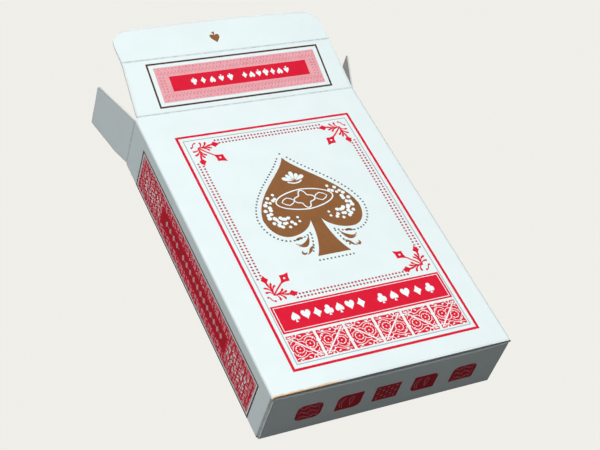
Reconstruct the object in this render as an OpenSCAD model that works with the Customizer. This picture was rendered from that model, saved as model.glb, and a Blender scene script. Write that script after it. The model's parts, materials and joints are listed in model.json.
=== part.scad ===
// Reverse-tuck carton for one deck of playing cards.
// It lies on its back panel: +X across the front, +Y towards the lid, +Z out of the front panel.
// The origin is the centre of the back panel's outer face. All sizes are in millimetres.

/* [Carton] */
// Width of the carton, outside
box_w = 65.5; // [62:0.5:75]
// Length of the closed carton, outside
box_h = 91; // [85:0.5:110]
// Depth of the carton, outside
box_d = 17.6; // [15:0.2:24]
// Thickness of the board
board_t = 0.4; // [0.3:0.05:0.45]
// Outer radius of the long corner creases
corner_r = 0.9; // [0.8:0.05:1.2]

/* [Lid] */
// Angle of the lid past the plane of the front panel
lid_open = 15; // [0:1:30]
// Angle of the tongue behind the plane of the lid
tongue_bend = 10; // [0:1:20]
// Side inset of the lid at its hinge crease
lid_inset = 0.5; // [0.4:0.05:0.8]
// Side inset of the lid at the tongue crease
tongue_inset = 1.35; // [1.35:0.05:2.5]
// Length of both tongues, from crease to free edge
tongue_len = 11.6; // [8:0.2:14]
// Corner radius of both tongues
tongue_r = 5; // [3:0.5:7]
// Rise of the bowed free edge of both tongues at the middle
tongue_bow = 0.8; // [0.4:0.1:1.5]

/* [Dust flaps] */
// Length of a dust flap, from crease to free edge
flap_len = 15.4; // [12:0.2:20]
// Outward lean of the top dust flaps
flap_open = 20; // [0:1:40]
// Straight part of a flap's back edge, before its taper
flap_straight = 5; // [3:0.5:8]
// How far the taper cuts into the free end of a flap
flap_taper = 2.1; // [1:0.1:4]
// Corner radius of the dust flaps
flap_r = 0.8; // [0.4:0.1:2]

/* [Seam] */
// Width of the glued seam flap
seam_w = 12.5; // [8:0.5:13]
// Distance from the carton's ends to the ends of the seam flap
seam_end = 4; // [4:0.5:8]
// Length of the slanted ends of the seam flap
seam_slant = 5; // [2:0.5:10]
// Thickness of the glue film
glue_t = 0.05; // [0.03:0.01:0.06]

/* [Hidden] */

$fn = 48;
tiny_gap = 0.1;                                 // between boards that slide past each other
fold_gap = 0.55 * board_t;                      // from a moving fold's axis to the panels it joins
half_t = board_t / 2;
half_w = box_w / 2;
half_h = box_h / 2;

// Fold axes: the lid and the bottom panel lie in the end planes, the dust flaps just inside them.
lid_axis_y = half_h - half_t;
lid_axis_z = box_d - half_t;
dust_axis_x = half_w - half_t;
dust_axis_y = half_h - board_t - tiny_gap - half_t;

// The lid is long enough for its tucked tongue to slide down the inside of the opposite panel.
lid_len = box_d - 2 * board_t - tiny_gap;
tongue_w = box_w - 2 * tongue_inset;

// Ends of the panels along Y
cut_end_y = half_h - board_t - 3 * tiny_gap;    // the back panel's cut edge, inside the closed lid
front_low_y = half_h - tiny_gap;                // the front panel's cut edge, over the tuck fold
side_end_y = dust_axis_y - fold_gap;
front_top_y = lid_axis_y - fold_gap;
fold_end_y = half_h - corner_r;                 // where a bottom corner crease begins

// Dust flaps stay between the tucked tongue and the panel with the fold.
top_flap_z = [board_t + tiny_gap + board_t + 2 * tiny_gap, box_d - corner_r - tiny_gap / 2];
bottom_flap_z = [board_t + 7 * tiny_gap, box_d - 2 * board_t - 3 * tiny_gap];

// The seam flap hangs on the back panel and is glued inside the right side panel.
seam_x = half_w - board_t - glue_t;             // outer face of the seam flap
seam_corner_x = seam_x - corner_r;
bottom_tuck_z = box_d - board_t - tiny_gap;     // outer face of the bottom tongue

BOARD = "whitesmoke";
CREASE = "gainsboro";
GLUE = "beige";

// A flat board with its low corner at p
module board(p, size) {
    translate(p) cube(size);
}

// A quarter-round strip of board along +Z, from +X round to +Y
module quarter_strip(length) {
    rotate_extrude(angle = 90) translate([corner_r - board_t, 0]) square([board_t, length]);
}

// A folded strip along Y: centre at [x, z], turned so that it starts at the angle given
module long_fold(x, z, turn, from_y, to_y) {
    translate([x, to_y, z]) rotate([90, 0, 0]) rotate([0, 0, turn]) quarter_strip(to_y - from_y);
}

// A folded strip along X at the bottom end: centre at [y, z]
module end_fold(y, z, turn) {
    length = box_w - 2 * lid_inset;
    translate([-length / 2, y, z]) rotate([90, 0, 90]) rotate([0, 0, turn]) quarter_strip(length);
}

// The bead of a moving fold along X, on its axis
module fold_bead_x(length) {
    rotate([0, 90, 0]) cylinder(r = half_t, h = length, center = true);
}

// The bead of a top dust flap's fold, along Z
module fold_bead_z(span) {
    translate([0, 0, span[0]]) cylinder(r = half_t, h = span[1] - span[0]);
}

// The folded corner of a bottom dust flap: it turns about the inner faces of the wall and the flap
module bottom_dust_fold(side) {
    translate([side * (half_w - board_t), half_t - dust_axis_y, bottom_flap_z[0]])
        rotate([0, 0, side > 0 ? 270 : 180])
            rotate_extrude(angle = 90) square([board_t, bottom_flap_z[1] - bottom_flap_z[0]]);
}

// A tongue outline on the XY plane: its fold lies along X, its free edge towards +Y
module tongue_outline() {
    half = tongue_w / 2;
    bow_r = pow(half, 2) / (2 * tongue_bow);
    corner_x = half - tongue_r;
    // The corner arcs rise to meet the bowed edge.
    corner_y = tongue_len - tongue_bow * pow(corner_x / half, 2) - tongue_r;
    intersection() {
        translate([0, tongue_len - bow_r]) circle(r = bow_r, $fn = 360);
        translate([-half, fold_gap]) square([tongue_w, tongue_len]);
        union() {
            translate([-half, fold_gap]) square([tongue_w, corner_y - fold_gap]);
            translate([-corner_x, fold_gap]) square([2 * corner_x, tongue_len]);
            for (side = [-1, 1]) translate([side * corner_x, corner_y]) circle(r = tongue_r);
        }
    }
}

// A lid outline on the XY plane, narrower at the tongue
module lid_outline() {
    hinge_w = half_w - lid_inset;
    far_w = half_w - tongue_inset;
    polygon([[-hinge_w, fold_gap], [hinge_w, fold_gap],
        [far_w, lid_len - fold_gap], [-far_w, lid_len - fold_gap]]);
}

// A dust flap outline: its fold lies along Y, its free end towards +X
module flap_outline(span) {
    low = span[0];
    high = span[1];
    difference() {
        translate([fold_gap, low]) square([flap_len - fold_gap, high - low]);
        polygon([[flap_straight, low - 1], [flap_straight, low], [flap_len, low + flap_taper],
            [flap_len + 1, low + flap_taper], [flap_len + 1, low - 1]]);
        translate([flap_len - flap_r, high - flap_r]) difference() {
            square(2 * flap_r);
            circle(r = flap_r);
        }
    }
}

// A plate of board, centred on the plane of its outline
module plate() {
    translate([0, 0, -half_t]) linear_extrude(board_t) children();
}

// A dust flap whose free end points along +X, standing in the XZ plane
module dust_flap(span) {
    rotate([90, 0, 0]) plate() flap_outline(span);
}

// Places what is drawn on the lid's plane, with its fold at the lid crease
module on_lid() {
    translate([0, lid_axis_y, lid_axis_z]) rotate([lid_open, 0, 0]) children();
}

// Places what is drawn at a top dust flap: side is -1 on the left and 1 on the right
module at_top_flap(side) {
    translate([side * dust_axis_x, dust_axis_y, 0])
        rotate([0, 0, 90 - side * flap_open]) children();
}

// Places what is drawn at a bottom dust flap
module at_bottom_flap(side) {
    translate([side * dust_axis_x, -dust_axis_y, 0]) rotate([0, 0, side > 0 ? 180 : 0]) children();
}

module front_panel() {
    color(BOARD) board([-half_w + corner_r, -front_low_y, box_d - board_t],
        [box_w - 2 * corner_r, front_top_y + front_low_y, board_t]);
}

module back_panel() {
    color(BOARD) board([-half_w + corner_r, -fold_end_y, 0],
        [seam_corner_x + half_w - corner_r, fold_end_y + cut_end_y, board_t]);
}

module left_side_panel() {
    color(BOARD) board([-half_w, -side_end_y, corner_r],
        [board_t, 2 * side_end_y, box_d - 2 * corner_r]);
}

// The right side panel runs down to the plane of the back panel and ends in a cut edge.
module right_side_panel() {
    color(BOARD) board([half_w - board_t, -side_end_y, 0],
        [board_t, 2 * side_end_y, box_d - corner_r]);
}

module front_left_crease() {
    color(CREASE) long_fold(-half_w + corner_r, box_d - corner_r, 90, -front_low_y, front_top_y);
}

module front_right_crease() {
    color(CREASE) long_fold(half_w - corner_r, box_d - corner_r, 0, -front_low_y, front_top_y);
}

module back_left_crease() {
    color(CREASE) long_fold(-half_w + corner_r, corner_r, 180, -fold_end_y, cut_end_y);
}

module seam_crease() {
    color(CREASE) long_fold(seam_corner_x, corner_r, 270, -fold_end_y, cut_end_y);
}

// The seam flap, with slanted ends that keep clear of the dust flaps
module seam_flap() {
    base = half_h - seam_end;
    tip = base - seam_slant;
    color(BOARD) translate([seam_x - board_t, 0, corner_r]) rotate([90, 0, 90]) linear_extrude(board_t)
        polygon([[-base, 0], [base, 0], [tip, seam_w], [-tip, seam_w]]);
}

module seam_glue() {
    glue_margin = 2;
    base = half_h - seam_end - seam_slant;
    color(GLUE) board([seam_x, -base, corner_r + glue_margin],
        [glue_t, 2 * base, seam_w - 2 * glue_margin]);
}

module lid_crease() {
    color(CREASE) translate([0, lid_axis_y, lid_axis_z]) fold_bead_x(box_w - 2 * lid_inset);
}

module lid_panel() {
    color(BOARD) on_lid() plate() lid_outline();
}

module tongue_crease() {
    color(CREASE) on_lid() translate([0, lid_len, 0]) fold_bead_x(tongue_w);
}

module lid_tongue() {
    color(BOARD) on_lid() translate([0, lid_len, 0]) rotate([-tongue_bend, 0, 0]) plate() tongue_outline();
}

module left_dust_crease() {
    color(CREASE) at_top_flap(-1) fold_bead_z(top_flap_z);
}

module left_dust_flap() {
    color(BOARD) at_top_flap(-1) dust_flap(top_flap_z);
}

module right_dust_crease() {
    color(CREASE) at_top_flap(1) fold_bead_z(top_flap_z);
}

module right_dust_flap() {
    color(BOARD) at_top_flap(1) dust_flap(top_flap_z);
}

module bottom_crease() {
    color(CREASE) end_fold(-fold_end_y, corner_r, 180);
}

// The bottom panel closes the lower end: it hangs on the back panel.
module bottom_panel() {
    width = box_w - 2 * lid_inset;
    color(BOARD) board([-width / 2, -half_h, corner_r], [width, board_t, bottom_tuck_z - 2 * corner_r]);
}

module bottom_tongue_crease() {
    color(CREASE) end_fold(-fold_end_y, bottom_tuck_z - corner_r, 90);
}

// The bottom tongue is tucked up behind the front panel.
module bottom_tongue() {
    color(BOARD) translate([0, -fold_end_y - fold_gap, bottom_tuck_z - half_t]) plate() tongue_outline();
}

module bottom_left_dust_crease() {
    color(CREASE) bottom_dust_fold(-1);
}

module bottom_left_dust_flap() {
    color(BOARD) at_bottom_flap(-1) dust_flap(bottom_flap_z);
}

module bottom_right_dust_crease() {
    color(CREASE) bottom_dust_fold(1);
}

module bottom_right_dust_flap() {
    color(BOARD) at_bottom_flap(1) dust_flap(bottom_flap_z);
}

front_panel();
back_panel();
left_side_panel();
right_side_panel();
front_left_crease();
front_right_crease();
back_left_crease();
seam_crease();
seam_flap();
seam_glue();
lid_crease();
lid_panel();
tongue_crease();
lid_tongue();
left_dust_crease();
left_dust_flap();
right_dust_crease();
right_dust_flap();
bottom_crease();
bottom_panel();
bottom_tongue_crease();
bottom_tongue();
bottom_left_dust_crease();
bottom_left_dust_flap();
bottom_right_dust_crease();
bottom_right_dust_flap();
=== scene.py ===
"""A reverse-tuck carton for playing cards: its boards, its folds and its printing.

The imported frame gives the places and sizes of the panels. Sizes here are in millimetres unless a
name says otherwise, and meshes are stored in metres. Every panel and every fold is one closed sheet
of board, worked out as a grid, and every printed mark is a very thin closed layer of ink.
"""

import json
import logging
import math
from dataclasses import dataclass
from enum import Enum

import bpy
import numpy as np
from mathutils import Matrix, Vector

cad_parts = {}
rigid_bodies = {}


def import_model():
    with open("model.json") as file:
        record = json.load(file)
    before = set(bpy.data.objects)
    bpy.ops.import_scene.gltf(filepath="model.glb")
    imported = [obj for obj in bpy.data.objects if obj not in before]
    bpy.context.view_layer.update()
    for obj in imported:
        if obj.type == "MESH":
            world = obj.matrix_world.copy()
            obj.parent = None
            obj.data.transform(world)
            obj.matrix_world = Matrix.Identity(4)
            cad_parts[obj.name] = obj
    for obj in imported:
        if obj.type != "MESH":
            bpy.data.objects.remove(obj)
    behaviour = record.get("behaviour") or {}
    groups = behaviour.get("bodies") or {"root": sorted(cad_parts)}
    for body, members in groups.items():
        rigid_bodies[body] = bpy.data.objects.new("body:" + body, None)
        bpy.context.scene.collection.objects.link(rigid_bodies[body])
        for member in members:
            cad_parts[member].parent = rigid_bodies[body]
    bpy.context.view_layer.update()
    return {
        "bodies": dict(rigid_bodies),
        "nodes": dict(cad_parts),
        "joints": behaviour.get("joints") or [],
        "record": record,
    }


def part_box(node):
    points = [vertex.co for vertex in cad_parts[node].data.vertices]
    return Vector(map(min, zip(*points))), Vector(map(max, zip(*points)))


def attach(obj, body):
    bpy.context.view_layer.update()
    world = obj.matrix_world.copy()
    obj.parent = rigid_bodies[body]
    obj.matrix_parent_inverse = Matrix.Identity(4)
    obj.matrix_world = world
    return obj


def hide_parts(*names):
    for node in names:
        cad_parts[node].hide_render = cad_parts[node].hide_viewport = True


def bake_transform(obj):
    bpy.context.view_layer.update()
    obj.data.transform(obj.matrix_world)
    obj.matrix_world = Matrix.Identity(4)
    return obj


LOG = logging.getLogger("carton")
MM = 0.001

# An edge distance past the reach of any wear and painted crease shade, and the rise from one copy
# of a mark to the next, which starts again after the number of steps.
BEYOND_WEAR_AND_SHADE = 9.0
INK_STAGGER = 0.0012
INK_STEPS = 5

Array = np.ndarray
Pair = tuple[float, float]
Shell = tuple[Array, list[list[int]]]
Colour = tuple[float, float, float]
Socket = bpy.types.NodeSocket
Groups = dict[str, bpy.types.NodeTree]
X_AXIS, Y_AXIS, Z_AXIS = np.eye(3)

# Which borders of a board are worn: its first row, last row, first column and last column.
Edges = tuple[bool, bool, bool, bool]
NO_EDGES: Edges = (False, False, False, False)
ALL_EDGES: Edges = (True, True, True, True)
LAST_ROW: Edges = (False, True, False, False)
FIRST_COLUMN: Edges = (False, False, True, False)
LAST_COLUMN: Edges = (False, False, False, True)
BOTH_COLUMNS: Edges = (False, False, True, True)
CUT_TONGUE: Edges = (True, True, False, True)
CUT_FLAP: Edges = (False, True, True, True)


class Side(Enum):
    """The two sides of the carton, seen from the front with the lid at the top."""

    LEFT = -1
    RIGHT = 1


class End(Enum):
    """The two ends of the carton."""

    BOTTOM = -1
    TOP = 1


class Ink(Enum):
    """The printed inks: each one's material and the material slot it belongs to."""

    RED = ("red_ink", "red_ink")
    DEEP_RED = ("deep_red_ink", "red_ink")
    CRIMSON = ("crimson_ink", "red_ink")
    PINK = ("pink_tint", "red_ink")
    ROSE = ("rose_tint", "red_ink")
    BRONZE = ("bronze_ink", "bronze_ink")
    DARK_BRONZE = ("dark_bronze_ink", "bronze_ink")
    GREY = ("grey_ink", "bronze_ink")
    SLATE = ("slate_ink", "bronze_ink")
    WHITE = ("white_ink", "printed_board")


class InkLayer(Enum):
    """Lowest and highest level of a printed layer above the board's face, in millimetres."""

    FIRST = (-0.010, 0.012)
    SECOND = (0.004, 0.022)
    THIRD = (0.014, 0.030)
    FOURTH = (0.026, 0.038)


# ---------------------------------------------------------------------------------------------
# Outlines: arrays of shape (..., points, 2)
# ---------------------------------------------------------------------------------------------


def unit(vectors: Array) -> Array:
    """Returns the vectors at length one."""
    return vectors / np.maximum(np.linalg.norm(vectors, axis=-1, keepdims=True), 1e-12)


def bezier(controls: Array, samples: int = 12) -> Array:
    """Points along cubic curves.

    The curve is the Bernstein sum (1-t)^3 a + 3t(1-t)^2 b + 3t^2(1-t) c + t^3 d.

    Args:
        controls: Control points, shape (..., 4, 2).
        samples: Points per curve, both ends included.

    Returns:
        Points of shape (..., samples, 2).
    """
    t = np.linspace(0, 1, samples)[:, None]
    weights = np.hstack([(1 - t) ** 3, 3 * t * (1 - t) ** 2, 3 * t**2 * (1 - t), t**3])
    return np.einsum("sk,...kc->...sc", weights, np.asarray(controls, float))


def stroke(path: Array, widths: Array) -> Array:
    """Outlines of pen strokes: each path shifted half its width to the left, then to the right.

    Args:
        path: Middle lines, shape (..., points, 2).
        widths: Width at each point, broadcast to the path's points.

    Returns:
        Closed outlines of shape (..., 2 * points, 2).
    """
    ahead = unit(np.gradient(path, axis=-2))
    left = np.stack([-ahead[..., 1], ahead[..., 0]], axis=-1)
    half = np.broadcast_to(widths, path.shape[:-1])[..., None] / 2
    return np.concatenate([path - left * half, (path + left * half)[..., ::-1, :]], axis=-2)


def polar(radius: Array, start: float = 0.0) -> Array:
    """A closed outline whose radius is given at equal angles from the start angle."""
    angle = start + np.linspace(0, 2 * np.pi, len(radius), endpoint=False)
    return np.stack([radius * np.cos(angle), radius * np.sin(angle)], axis=-1)


def disc(sides: int = 8) -> Array:
    """A round outline of diameter one."""
    return polar(np.full(sides, 0.5))


def plate(centre: Pair, half: Pair) -> Array:
    """A rectangle round a centre."""
    return np.array([(-1, -1), (1, -1), (1, 1), (-1, 1)]) * np.array(half) + np.array(centre)


def between(outer: Array, inner: Array) -> Array:
    """The four-sided pieces between two closed outlines, one for each of their steps."""
    return np.stack([outer, np.roll(outer, -1, axis=0), np.roll(inner, -1, axis=0), inner], axis=1)


def border(half: Pair, width: float, centre: Pair = (0, 0)) -> Array:
    """Four mitred bars round a rectangle whose middle line has the half sizes given.

    Args:
        half: Half width and half height of the bars' middle line.
        width: Width of the bars.
        centre: Centre of the rectangle.

    Returns:
        Outlines of shape (4, 4, 2).
    """
    return between(*(plate(centre, np.array(half) + side * width / 2) for side in (1, -1)))


def lozenge(pinch: float = 0.36) -> Array:
    """A lozenge one unit high and wide, its sides drawn in to the pinch at 45 degrees."""
    return polar(np.where(np.arange(8) % 2 == 0, 0.5, pinch * 0.5 * math.sqrt(2)))


def drop(samples: int = 14) -> Array:
    """A drop one unit long: its point at the origin and its round end towards +Y.

    The outline is y = (1 - cos t) / 2, x = sin t sin(t / 2)^1.5 / 3 for t round the circle.

    Args:
        samples: Points on the outline.

    Returns:
        One outline, shape (samples, 2).
    """
    t = np.linspace(0, 2 * np.pi, samples, endpoint=False)
    swell = np.abs(np.sin(t / 2)) ** 1.5
    return np.stack([np.sin(t) * swell / 3, (1 - np.cos(t)) / 2], axis=-1)


def rosette(petals: int, depth: float = 0.3, samples: int = 36) -> Array:
    """A flower of diameter one whose radius swells once for each petal."""
    angle = np.linspace(0, 2 * np.pi, samples, endpoint=False)
    return polar(0.5 * (1 - depth + depth * np.abs(np.cos(petals * angle / 2))))


def heart(samples: int = 28) -> Array:
    """A heart one unit high, from the sine-cubed curve.

    Args:
        samples: Points on the outline.

    Returns:
        One outline, shape (samples, 2).
    """
    t = np.linspace(0, 2 * np.pi, samples, endpoint=False)
    x = 16 * np.sin(t) ** 3
    y = 13 * np.cos(t) - 5 * np.cos(2 * t) - 2 * np.cos(3 * t) - np.cos(4 * t)
    points = np.stack([x, y], axis=-1)
    span = np.ptp(points[:, 1])
    return (points - [0, (y.max() + y.min()) / 2]) / span


def stamp(shape: Array, centres: Array, size: Array | float, angle: Array | float = 0.0) -> Array:
    """Copies of an outline, turned, sized and put at each centre.

    Args:
        shape: One outline, shape (points, 2).
        centres: Places, shape (copies, 2).
        size: One size, one for each copy, or (copies, 2) for width and height.
        angle: Anticlockwise turn in radians, one or one for each copy.

    Returns:
        Outlines of shape (copies, points, 2).
    """
    centres = np.atleast_2d(np.asarray(centres, float))
    copies = len(centres)
    sizes = np.asarray(size, float)
    sizes = np.broadcast_to(sizes[..., None] if sizes.ndim < 2 else sizes, (copies, 2))
    turns = np.broadcast_to(np.asarray(angle, float), (copies,))
    cos, sin = np.cos(turns), np.sin(turns)
    rotation = np.stack([np.stack([cos, -sin], -1), np.stack([sin, cos], -1)], -2)
    return np.einsum("nij,npj->npi", rotation, shape[None] * sizes[:, None]) + centres[:, None]


def mirrored(outlines: Array, centre: float = 0.0) -> Array:
    """The outlines and their reflections in the upright line at centre."""
    flipped = outlines * [-1, 1] + [2 * centre, 0]
    return np.concatenate([outlines, flipped])


def evenly_along(path: Array, pitch: float) -> Array:
    """Points at equal steps along a closed path, by its running length.

    Args:
        path: The path's points, shape (points, 2).
        pitch: About how far apart the points are to be.

    Returns:
        Points of shape (count, 2).
    """
    closed = np.vstack([path, path[:1]])
    lengths = np.concatenate([[0], np.cumsum(np.linalg.norm(np.diff(closed, axis=0), axis=1))])
    count = max(3, round(lengths[-1] / pitch))
    at = np.linspace(0, lengths[-1], count, endpoint=False)
    return np.stack([np.interp(at, lengths, closed[:, axis]) for axis in (0, 1)], axis=-1)


def dots(start: Pair, end: Pair, pitch: float) -> Array:
    """Centres at about the pitch given, from start to end."""
    return np.linspace(start, end, round(math.dist(start, end) / pitch) + 1)


def grid_points(x: Array, y: Array) -> Array:
    """Every point of a grid with the columns x and the rows y, row by row, shape (points, 2)."""
    across, up = np.meshgrid(x, y)
    return np.stack([across.ravel(), up.ravel()], -1)


# ---------------------------------------------------------------------------------------------
# Shells and meshes
# ---------------------------------------------------------------------------------------------


def prisms(outlines: Array, layer: InkLayer) -> Shell:
    """Closed layers of ink: each outline, turned anticlockwise, carried from low to high.

    Each copy is a hair higher than the one before, so that outlines that cross don't share a face.

    Args:
        outlines: Outlines of shape (copies, points, 2), or one of shape (points, 2).
        layer: The levels of the lower and upper faces.

    Returns:
        Points of shape (n, 3) as across, up and out, and the faces.
    """
    outlines = np.asarray(outlines, float)
    outlines = outlines[None] if outlines.ndim == 2 else outlines
    following = np.roll(outlines, -1, axis=1)
    doubled = outlines[..., 0] * following[..., 1] - outlines[..., 1] * following[..., 0]
    clockwise = np.sum(doubled, axis=1) < 0
    outlines = np.where(clockwise[:, None, None], outlines[:, ::-1], outlines)
    copies, sides = outlines.shape[:2]
    step = INK_STAGGER * (np.arange(copies) % INK_STEPS)
    levels = np.array(layer.value)[None] + np.stack([step * 0, step], -1)
    levels = np.broadcast_to(levels[:, :, None, None], (copies, 2, sides, 1))
    flat = np.broadcast_to(outlines[:, None], (copies, 2, sides, 2))
    points = np.concatenate([flat, levels], axis=-1).reshape(-1, 3)
    first = np.arange(copies)[:, None] * 2 * sides
    ring = np.arange(sides)[None]
    after = np.roll(ring, -1, axis=1)
    lower = (first + ring[:, ::-1]).tolist()
    upper = (first + sides + ring).tolist()
    walls = np.stack([first + ring, first + after, first + after + sides, first + ring + sides], -1)
    return points, lower + upper + walls.reshape(-1, 4).tolist()


def joined(shells: list[Shell]) -> Shell:
    """Several shells as one, with the faces renumbered.

    Args:
        shells: The shells, each with its own numbering.

    Returns:
        All the points and all the faces.
    """
    starts = np.cumsum([0] + [len(points) for points, _ in shells])
    faces = [
        [index + int(start) for index in face]
        for (_, shell_faces), start in zip(shells, starts)
        for face in shell_faces
    ]
    return np.vstack([points for points, _ in shells]), faces


def grid_quads(rows: int, columns: int) -> Array:
    """Quads of a grid whose points are numbered along its rows.

    Args:
        rows: Points along the first direction.
        columns: Points along the second direction.

    Returns:
        Point numbers of shape (quads, 4).
    """
    index = np.arange(rows * columns).reshape(rows, columns)
    corners = [index[:-1, :-1], index[1:, :-1], index[1:, 1:], index[:-1, 1:]]
    return np.stack(corners, -1).reshape(-1, 4)


def grid_rim(rows: int, columns: int) -> Array:
    """The border of the same grid, once round, starting along the first row.

    Args:
        rows: Points along the first direction.
        columns: Points along the second direction.

    Returns:
        Point numbers of shape (border points,).
    """
    index = np.arange(rows * columns).reshape(rows, columns)
    return np.concatenate([index[0], index[1:, -1], index[-1, -2::-1], index[-2:0:-1, 0]])


def graded(length: float, finest: float = 0.12, growth: float = 1.55, coarsest: float = 6.0) -> Array:
    """Positions from 0 to length whose steps are finest at both ends and grow towards the middle.

    Each step is the one before it times the growth, up to the coarsest.

    Args:
        length: The last position.
        finest: The first and the last step.
        growth: How much longer each step is than the one before.
        coarsest: The longest step.

    Returns:
        Positions of shape (count,), mirrored about the middle.
    """
    steps = np.minimum(finest * growth ** np.arange(60), coarsest)
    reach = np.cumsum(steps)
    reach = reach[reach < length / 2 - finest]
    return np.unique(np.concatenate([[0], reach, [length / 2], length - reach, [length]]).round(6))


def shares(length: float) -> Array:
    """The graded positions along a length as shares of it, from 0 to 1."""
    return graded(length) / length


def add_mesh(
    name: str, points: Array, faces: list, materials: list[bpy.types.Material], slots: Array | None = None
) -> bpy.types.Object:
    """Makes a mesh object at the origin, smooth where its faces meet at less than 30 degrees.

    Args:
        name: The piece's name.
        points: Vertices in millimetres in the row frame.
        faces: Faces that point outwards.
        materials: Materials for the object's slots.
        slots: Material slot of each face, or None for the first.

    Returns:
        The new object.
    """
    mesh = bpy.data.meshes.new(name)
    mesh.from_pydata((np.asarray(points) * MM).tolist(), [], faces)
    for material in materials:
        mesh.materials.append(material)
    if slots is not None:
        mesh.polygons.foreach_set("material_index", np.asarray(slots, np.int32))
    mesh.polygons.foreach_set("use_smooth", np.ones(len(mesh.polygons), bool))
    mesh.set_sharp_from_angle(angle=math.radians(30))
    mesh.update()
    piece = bpy.data.objects.new(name, mesh)
    bpy.context.scene.collection.objects.link(piece)
    return piece


@dataclass(frozen=True)
class BoardFinishes:
    """The three finishes of a board: its printed face, its inner face and its cut edges."""

    outside: bpy.types.Material
    inside: bpy.types.Material
    cut: bpy.types.Material


def edge_distance(middle: Array, edges: Edges) -> Array:
    """Distance in millimetres from each grid point to the nearest worn edge, along the grid lines.

    Args:
        middle: The board's middle surface, shape (rows, columns, 3).
        edges: Which borders are worn: first row, last row, first column and last column.

    Returns:
        Distances of shape (rows, columns), BEYOND_WEAR_AND_SHADE where no edge is worn.
    """
    nearest = np.full(middle.shape[:2], BEYOND_WEAR_AND_SHADE)
    for axis in (0, 1):
        steps = np.linalg.norm(np.diff(middle, axis=axis), axis=-1)
        run = np.insert(np.cumsum(steps, axis=axis), 0, 0.0, axis=axis)
        if edges[2 * axis]:
            nearest = np.minimum(nearest, run)
        if edges[2 * axis + 1]:
            nearest = np.minimum(nearest, np.take(run, [-1], axis=axis) - run)
    return nearest


def board(
    name: str,
    middle: Array,
    outward: Array,
    thickness: tuple[Array | float, Array | float],
    finishes: BoardFinishes,
    edges: Edges = NO_EDGES,
    wear: Array | None = None,
) -> bpy.types.Object:
    """A closed sheet of board: a grid of points moved out and in along its normals, with a rim.

    Args:
        name: The piece's name.
        middle: The board's middle surface, shape (rows, columns, 3).
        outward: Unit normals towards the printed side, broadcast to the middle's shape.
        thickness: How far the outer and the inner face stand off, each a number or an array.
        finishes: Materials for the outer face, the inner face and the cut rim.
        edges: Which borders are worn: first row, last row, first column and last column.
        wear: Distance to the nearest line of painted crease shade, where it isn't a border.

    Returns:
        The new object, with the distance to the nearest worn edge and painted-shade crease line in the
        attribute edge_mm.
    """
    rows, columns = middle.shape[:2]
    outward = np.broadcast_to(outward, middle.shape)
    out, back = (np.broadcast_to(t, (rows, columns))[..., None] for t in thickness)
    count = rows * columns
    faces_of_board = (middle + outward * out, middle - outward * back)
    points = np.concatenate([face.reshape(-1, 3) for face in faces_of_board])
    outer = grid_quads(rows, columns)
    rim = grid_rim(rows, columns)
    after = np.roll(rim, -1)
    inner = outer[:, ::-1] + count
    walls = np.stack([rim, after, after + count, rim + count], -1)
    corners = points[outer]
    facing = np.cross(corners[:, 1] - corners[:, 0], corners[:, 3] - corners[:, 0])
    if np.sum(facing * outward.reshape(-1, 3)[outer[:, 0]]) < 0:
        outer, inner, walls = outer[:, ::-1], inner[:, ::-1], walls[:, ::-1]
    faces = np.concatenate([outer, inner, walls])
    slots = np.repeat([0, 1, 2], [len(outer), len(inner), len(walls)])
    materials = [finishes.outside, finishes.inside, finishes.cut]
    piece = add_mesh(name, points, faces.tolist(), materials, slots)
    distance = np.minimum(edge_distance(middle, edges), BEYOND_WEAR_AND_SHADE if wear is None else wear)
    edge = piece.data.attributes.new("edge_mm", "FLOAT", "POINT")
    edge.data.foreach_set("value", np.tile(distance.ravel(), 2).astype(np.float32))
    return piece


# ---------------------------------------------------------------------------------------------
# Finishes
# ---------------------------------------------------------------------------------------------


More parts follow.
